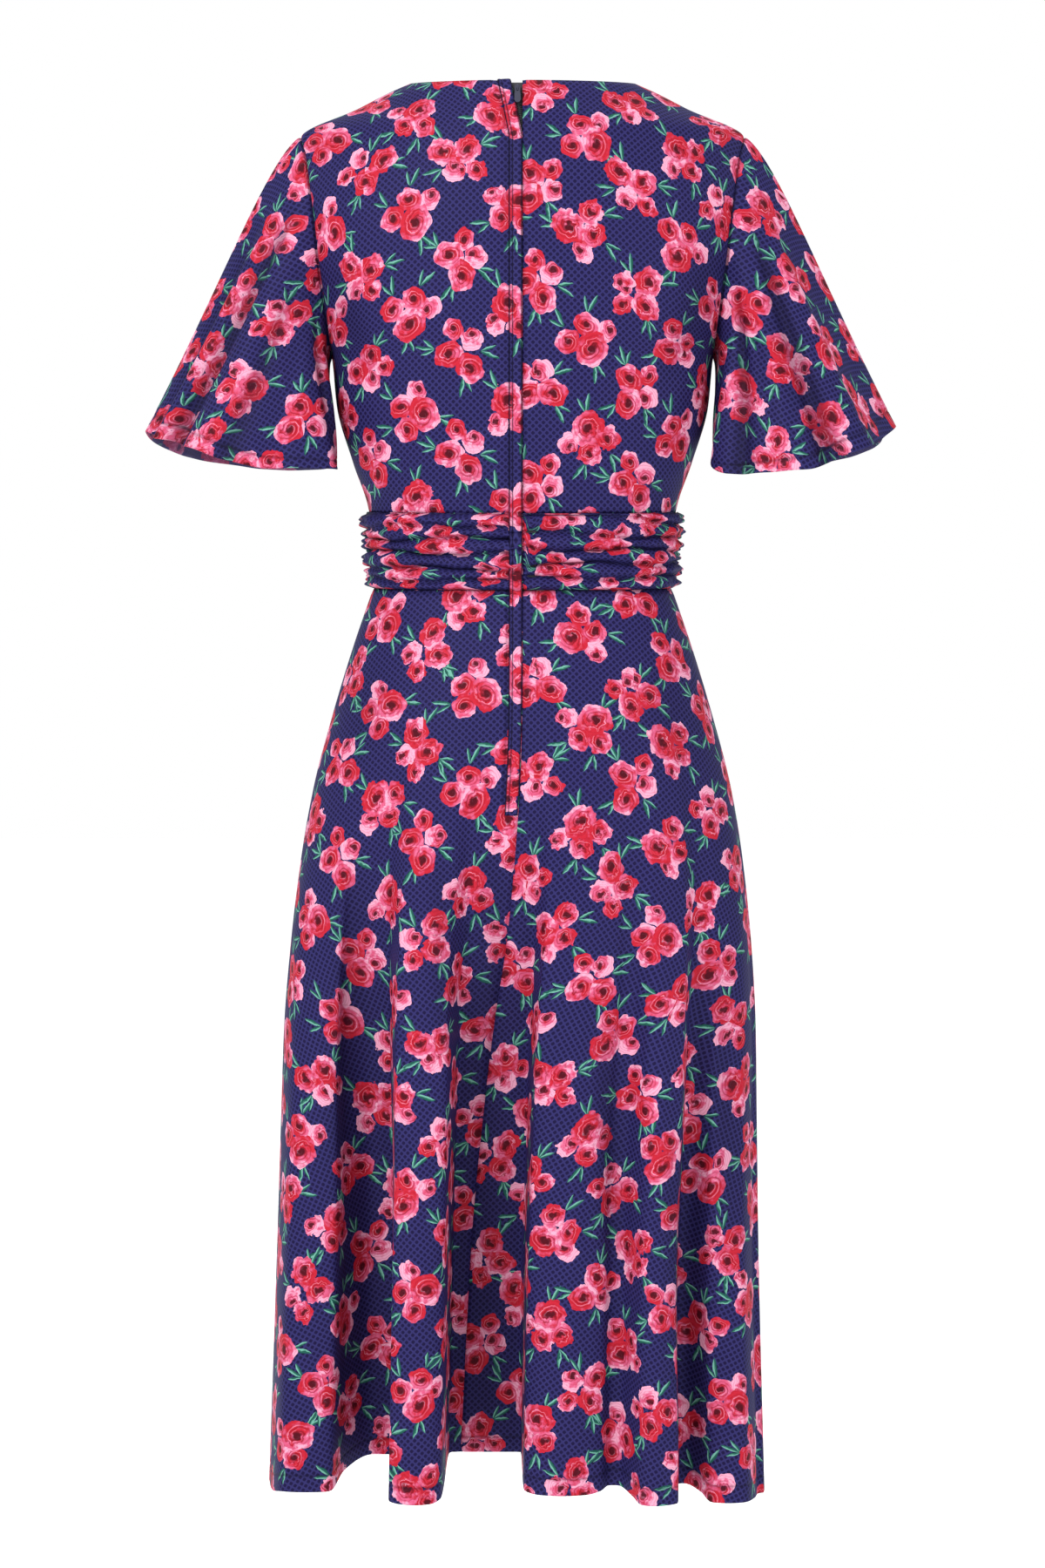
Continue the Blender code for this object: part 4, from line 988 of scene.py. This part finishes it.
def roses(n, local, luck, layout, found):
    """Adds blooms, later ones under earlier ones. z carries the bloom's number, below 0 if side-on."""
    for k, (x, y, radius, side) in reversed(list(enumerate(layout))):
        sway = BLOOM_SWAY * (-1) ** k
        grow = 1.0 / (radius * BLOOM_GROW)
        own = n.vector("MULTIPLY_ADD", local, (grow, grow * (1.0 + 0.16 * ((k % 3) - 1)), 0.0),
                       (-x * grow - 0.5 * sway * grow, -y * grow - 0.5 * sway * grow, 0.0))
        own = n.vector("MULTIPLY_ADD", luck, (sway * grow, sway * grow, 0.0), own)
        u, v, _ = n.split(own)
        lobes = n.math("SINE", n.madd(n.math("ARCTAN2", v, u), LOBES, 1.9 * k))
        inside = n.math("LESS_THAN", n.madd(lobes, LOBE_DEEP, n.vector("LENGTH", own)), 0.99)
        mark = (k + 1.0) * (-1.0 if side else 1.0)
        found = n.pick(inside, found, n.vector("ADD", own, (0.0, 0.0, mark)))
    return found


def bloom_colour(n, own, blot, luck):
    """Watercolour rose: red turning pink and pale to one side, dark heart with thin pale arcs round it."""
    x, y, mark = n.split(own)
    side = n.math("LESS_THAN", mark, 0.0)
    flat = n.join(x, y, 0.0)
    lucky = n.split(luck)[2]
    angle = n.madd(mark, 2.17, n.times(lucky, 6.28))
    own = n.turned(flat, angle)
    x, y, _ = n.split(own)
    far = n.vector("LENGTH", flat)
    stain = n.math("SUBTRACT", blot, 0.5)

    blush = n.madd(x, 0.5, n.times(far, 0.55))
    blush = n.madd(stain, 1.5, blush)
    blush = n.madd(side, SIDE_HEART, blush)
    colour = n.mix(n.ramp(blush, 0.09, 0.7), ROSE_RED, ROSE_PINK)
    colour = n.mix(n.ramp(blush, 0.64, 1.02), colour, PALE_PINK)

    heart_x = n.madd(side, SIDE_HEART, x)
    heart = n.vector("LENGTH", n.join(heart_x, n.times(y, 0.85), 0.0))
    round_it = n.math("ARCTAN2", y, heart_x)
    coil = n.madd(heart, 4.2, n.times(round_it, 1.0 / math.pi))
    coil = n.math("FRACT", n.madd(stain, 0.8, coil))
    ring = n.math("ABSOLUTE", n.math("SUBTRACT", coil, 0.5))
    inner = n.falling(heart, 0.45, 0.78)
    gate = n.ramp(n.math("SINE", n.math("ADD", round_it, n.times(heart, 9.0))), -0.2, 0.5)
    petal = n.times(n.ramp(ring, 0.26, 0.46), n.madd(inner, 0.5, 0.3))
    colour = n.mix(petal, colour, DEEP_RED)
    arc = n.times(n.falling(ring, 0.03, 0.12), n.times(inner, gate))
    colour = n.mix(n.times(arc, 0.75), colour, PALE_PINK)
    dark = n.falling(n.madd(stain, 0.35, heart), 0.16, 0.38)
    return n.mix(n.times(dark, 0.95), colour, MAROON)


def print_material(name, faded):
    material = bpy.data.materials.new(name)
    n = Nodes(material)
    chart = n.new("UVMap")
    chart.uv_map = "Print"
    place = n.vector("SCALE", chart.outputs[0], 1.0 / (PRINT_SIZE * MM))
    blot, wild = n.noise(place, 0.17, 2.0)
    wobble, frill = (n.vector("MULTIPLY_ADD", wild, (size, size, 0.0), (-size / 2, -size / 2, 0.0))
                     for size in (WOBBLE, FRILL))
    bent = n.vector("ADD", place, wobble)

    frame_a, luck_a = cluster_frame(n, bent, 0.0, 3.0)
    frame_b, luck_b = cluster_frame(n, bent, CELL / 2, 7.0)
    leaf = leaves(n, frame_a, SPRIGS_A, NOWHERE)
    leaf = leaves(n, frame_b, SPRIGS_B, leaf)
    bloom = roses(n, n.vector("ADD", frame_a, frill), luck_a, ROSES_A, NOWHERE)
    bloom = roses(n, n.vector("ADD", frame_b, frill), luck_b, ROSES_B, bloom)

    x, y, _ = n.split(place)
    thirds = []
    for line in (n.math("ADD", x, y), n.math("SUBTRACT", x, y)):
        part = n.math("SUBTRACT", n.math("FRACT", n.times(line, 1.0 / LATTICE)), 0.5)
        thirds.append(n.math("POWER", n.math("ABSOLUTE", part), 3.0))
    ground = n.mix(n.ramp(n.math("ADD", *thirds), 0.022, 0.06), GROUND_DARK, GROUND_LINE)

    u, v, _ = n.split(leaf)
    on_leaf = n.math("LESS_THAN", n.math("ABSOLUTE", u), 2.0)
    green = n.mix(n.ramp(n.madd(blot, 1.6, v), 0.55, 1.15), LEAF_GREEN, LEAF_MINT)
    rib = n.falling(n.math("ABSOLUTE", v), 0.04, 0.22)
    green = n.mix(n.times(rib, 0.6), green, LEAF_DARK)
    green = n.mix(n.times(n.ramp(n.times(v, -1.0), 0.1, 0.9), 0.75), green, LEAF_DARK)
    colour = n.mix(on_leaf, ground, green)

    bloom_x = n.math("ABSOLUTE", n.split(bloom)[0])
    colour = n.mix(n.math("LESS_THAN", bloom_x, 2.0), colour, bloom_colour(n, bloom, blot, luck_a))
    # Painted shade from the mesh darkens folds, seam gaps and stitch lines towards near-black
    shade = n.new("Attribute")
    shade.attribute_name = "PaintedShade"
    colour = n.mix(shade.outputs["Fac"], colour, PAINTED_SHADE_COLOUR)
    if faded:
        colour = n.mix(0.55, colour, INSIDE_TINT)
    n.fill(n.shader, {"Base Color": colour, "Roughness": 0.62, "Specular IOR Level": 0.06})
    return material


def plain_material(name, colour, roughness, metallic=0.0, grain=0.0):
    material = bpy.data.materials.new(name)
    n = Nodes(material)
    n.fill(n.shader, {"Base Color": (*colour, 1.0), "Roughness": roughness, "Metallic": metallic})
    if grain:
        where = n.new("TexCoord")
        speck, _ = n.noise(where.outputs["Object"], grain, 3.0)
        relief = n.new("Bump")
        n.fill(relief, {"Strength": 0.35, "Distance": 0.2 * MM, "Height": speck})
        n.put(n.shader.inputs["Normal"], relief.outputs[0])
    return material


# ---- setting
def place_facing(made, spot, aim):
    made.location = spot
    made.rotation_euler = (Vector(aim) - made.location).to_track_quat("-Z", "Y").to_euler()


def build_setting():
    """White surround, pale floor well below the hem, soft studio lights and the camera."""
    world = bpy.data.worlds.new("studio")
    world.use_nodes = True
    surround = world.node_tree.nodes["Background"]
    surround.inputs["Color"].default_value = (1.0, 1.0, 1.0, 1.0)
    surround.inputs["Strength"].default_value = 1.0
    bpy.context.scene.world = world

    mesh = bpy.data.meshes.new("floor")
    signs = ((-1, -1), (1, -1), (1, 1), (-1, 1))
    corners = [(x * FLOOR_HALF, y * FLOOR_HALF, FLOOR_HEIGHT) for x, y in signs]
    mesh.from_pydata(corners, [], [(0, 1, 2, 3)])
    pale = plain_material("floor_white", (0.95, 0.95, 0.95), 0.9)
    shader = pale.node_tree.nodes["Principled BSDF"]
    shader.inputs["Emission Color"].default_value = (1.0, 1.0, 1.0, 1.0)
    shader.inputs["Emission Strength"].default_value = FLOOR_GLOW
    mesh.materials.append(pale)
    add_object("floor", mesh)

    for name, spot, size, watts in LAMPS:
        lamp = bpy.data.lights.new(name, "AREA")
        lamp.size = size
        lamp.energy = watts
        place_facing(add_object(name, lamp), spot, LAMP_AIM)

    lens = bpy.data.cameras.new("camera")
    lens.lens = LENS_MM
    lens.sensor_width = 36.0
    camera = add_object("camera", lens)
    place_facing(camera, CAMERA_AT, CAMERA_AIM)
    bpy.context.scene.camera = camera
    bpy.context.scene.view_settings.view_transform = "Standard"


def main():
    cloth = ("print", (print_material("rose_print", False), print_material("rose_print_reverse", True)))
    tape = plain_material("black_tape", (0.012, 0.012, 0.016), 0.8, grain=2500.0)
    metal = plain_material("dark_enamel", (0.06, 0.06, 0.09), 0.3, metallic=0.8, grain=900.0)

    armholes, bodice = build_bodice(cloth)
    build_sleeve("right", armholes["right"], RIGHT_SLEEVE_HEM, cloth)
    build_sleeve("left", armholes["left"], LEFT_SLEEVE_HEM, cloth)
    band = build_band(cloth)
    skirt = build_skirt(cloth)
    build_zip(bodice, band, skirt, cloth, tape)
    for node in ("zip_slider", "zip_pull"):
        part = bpy.data.objects[node]
        part.data.materials.clear()
        part.data.materials.append(metal)
    build_setting()


main()
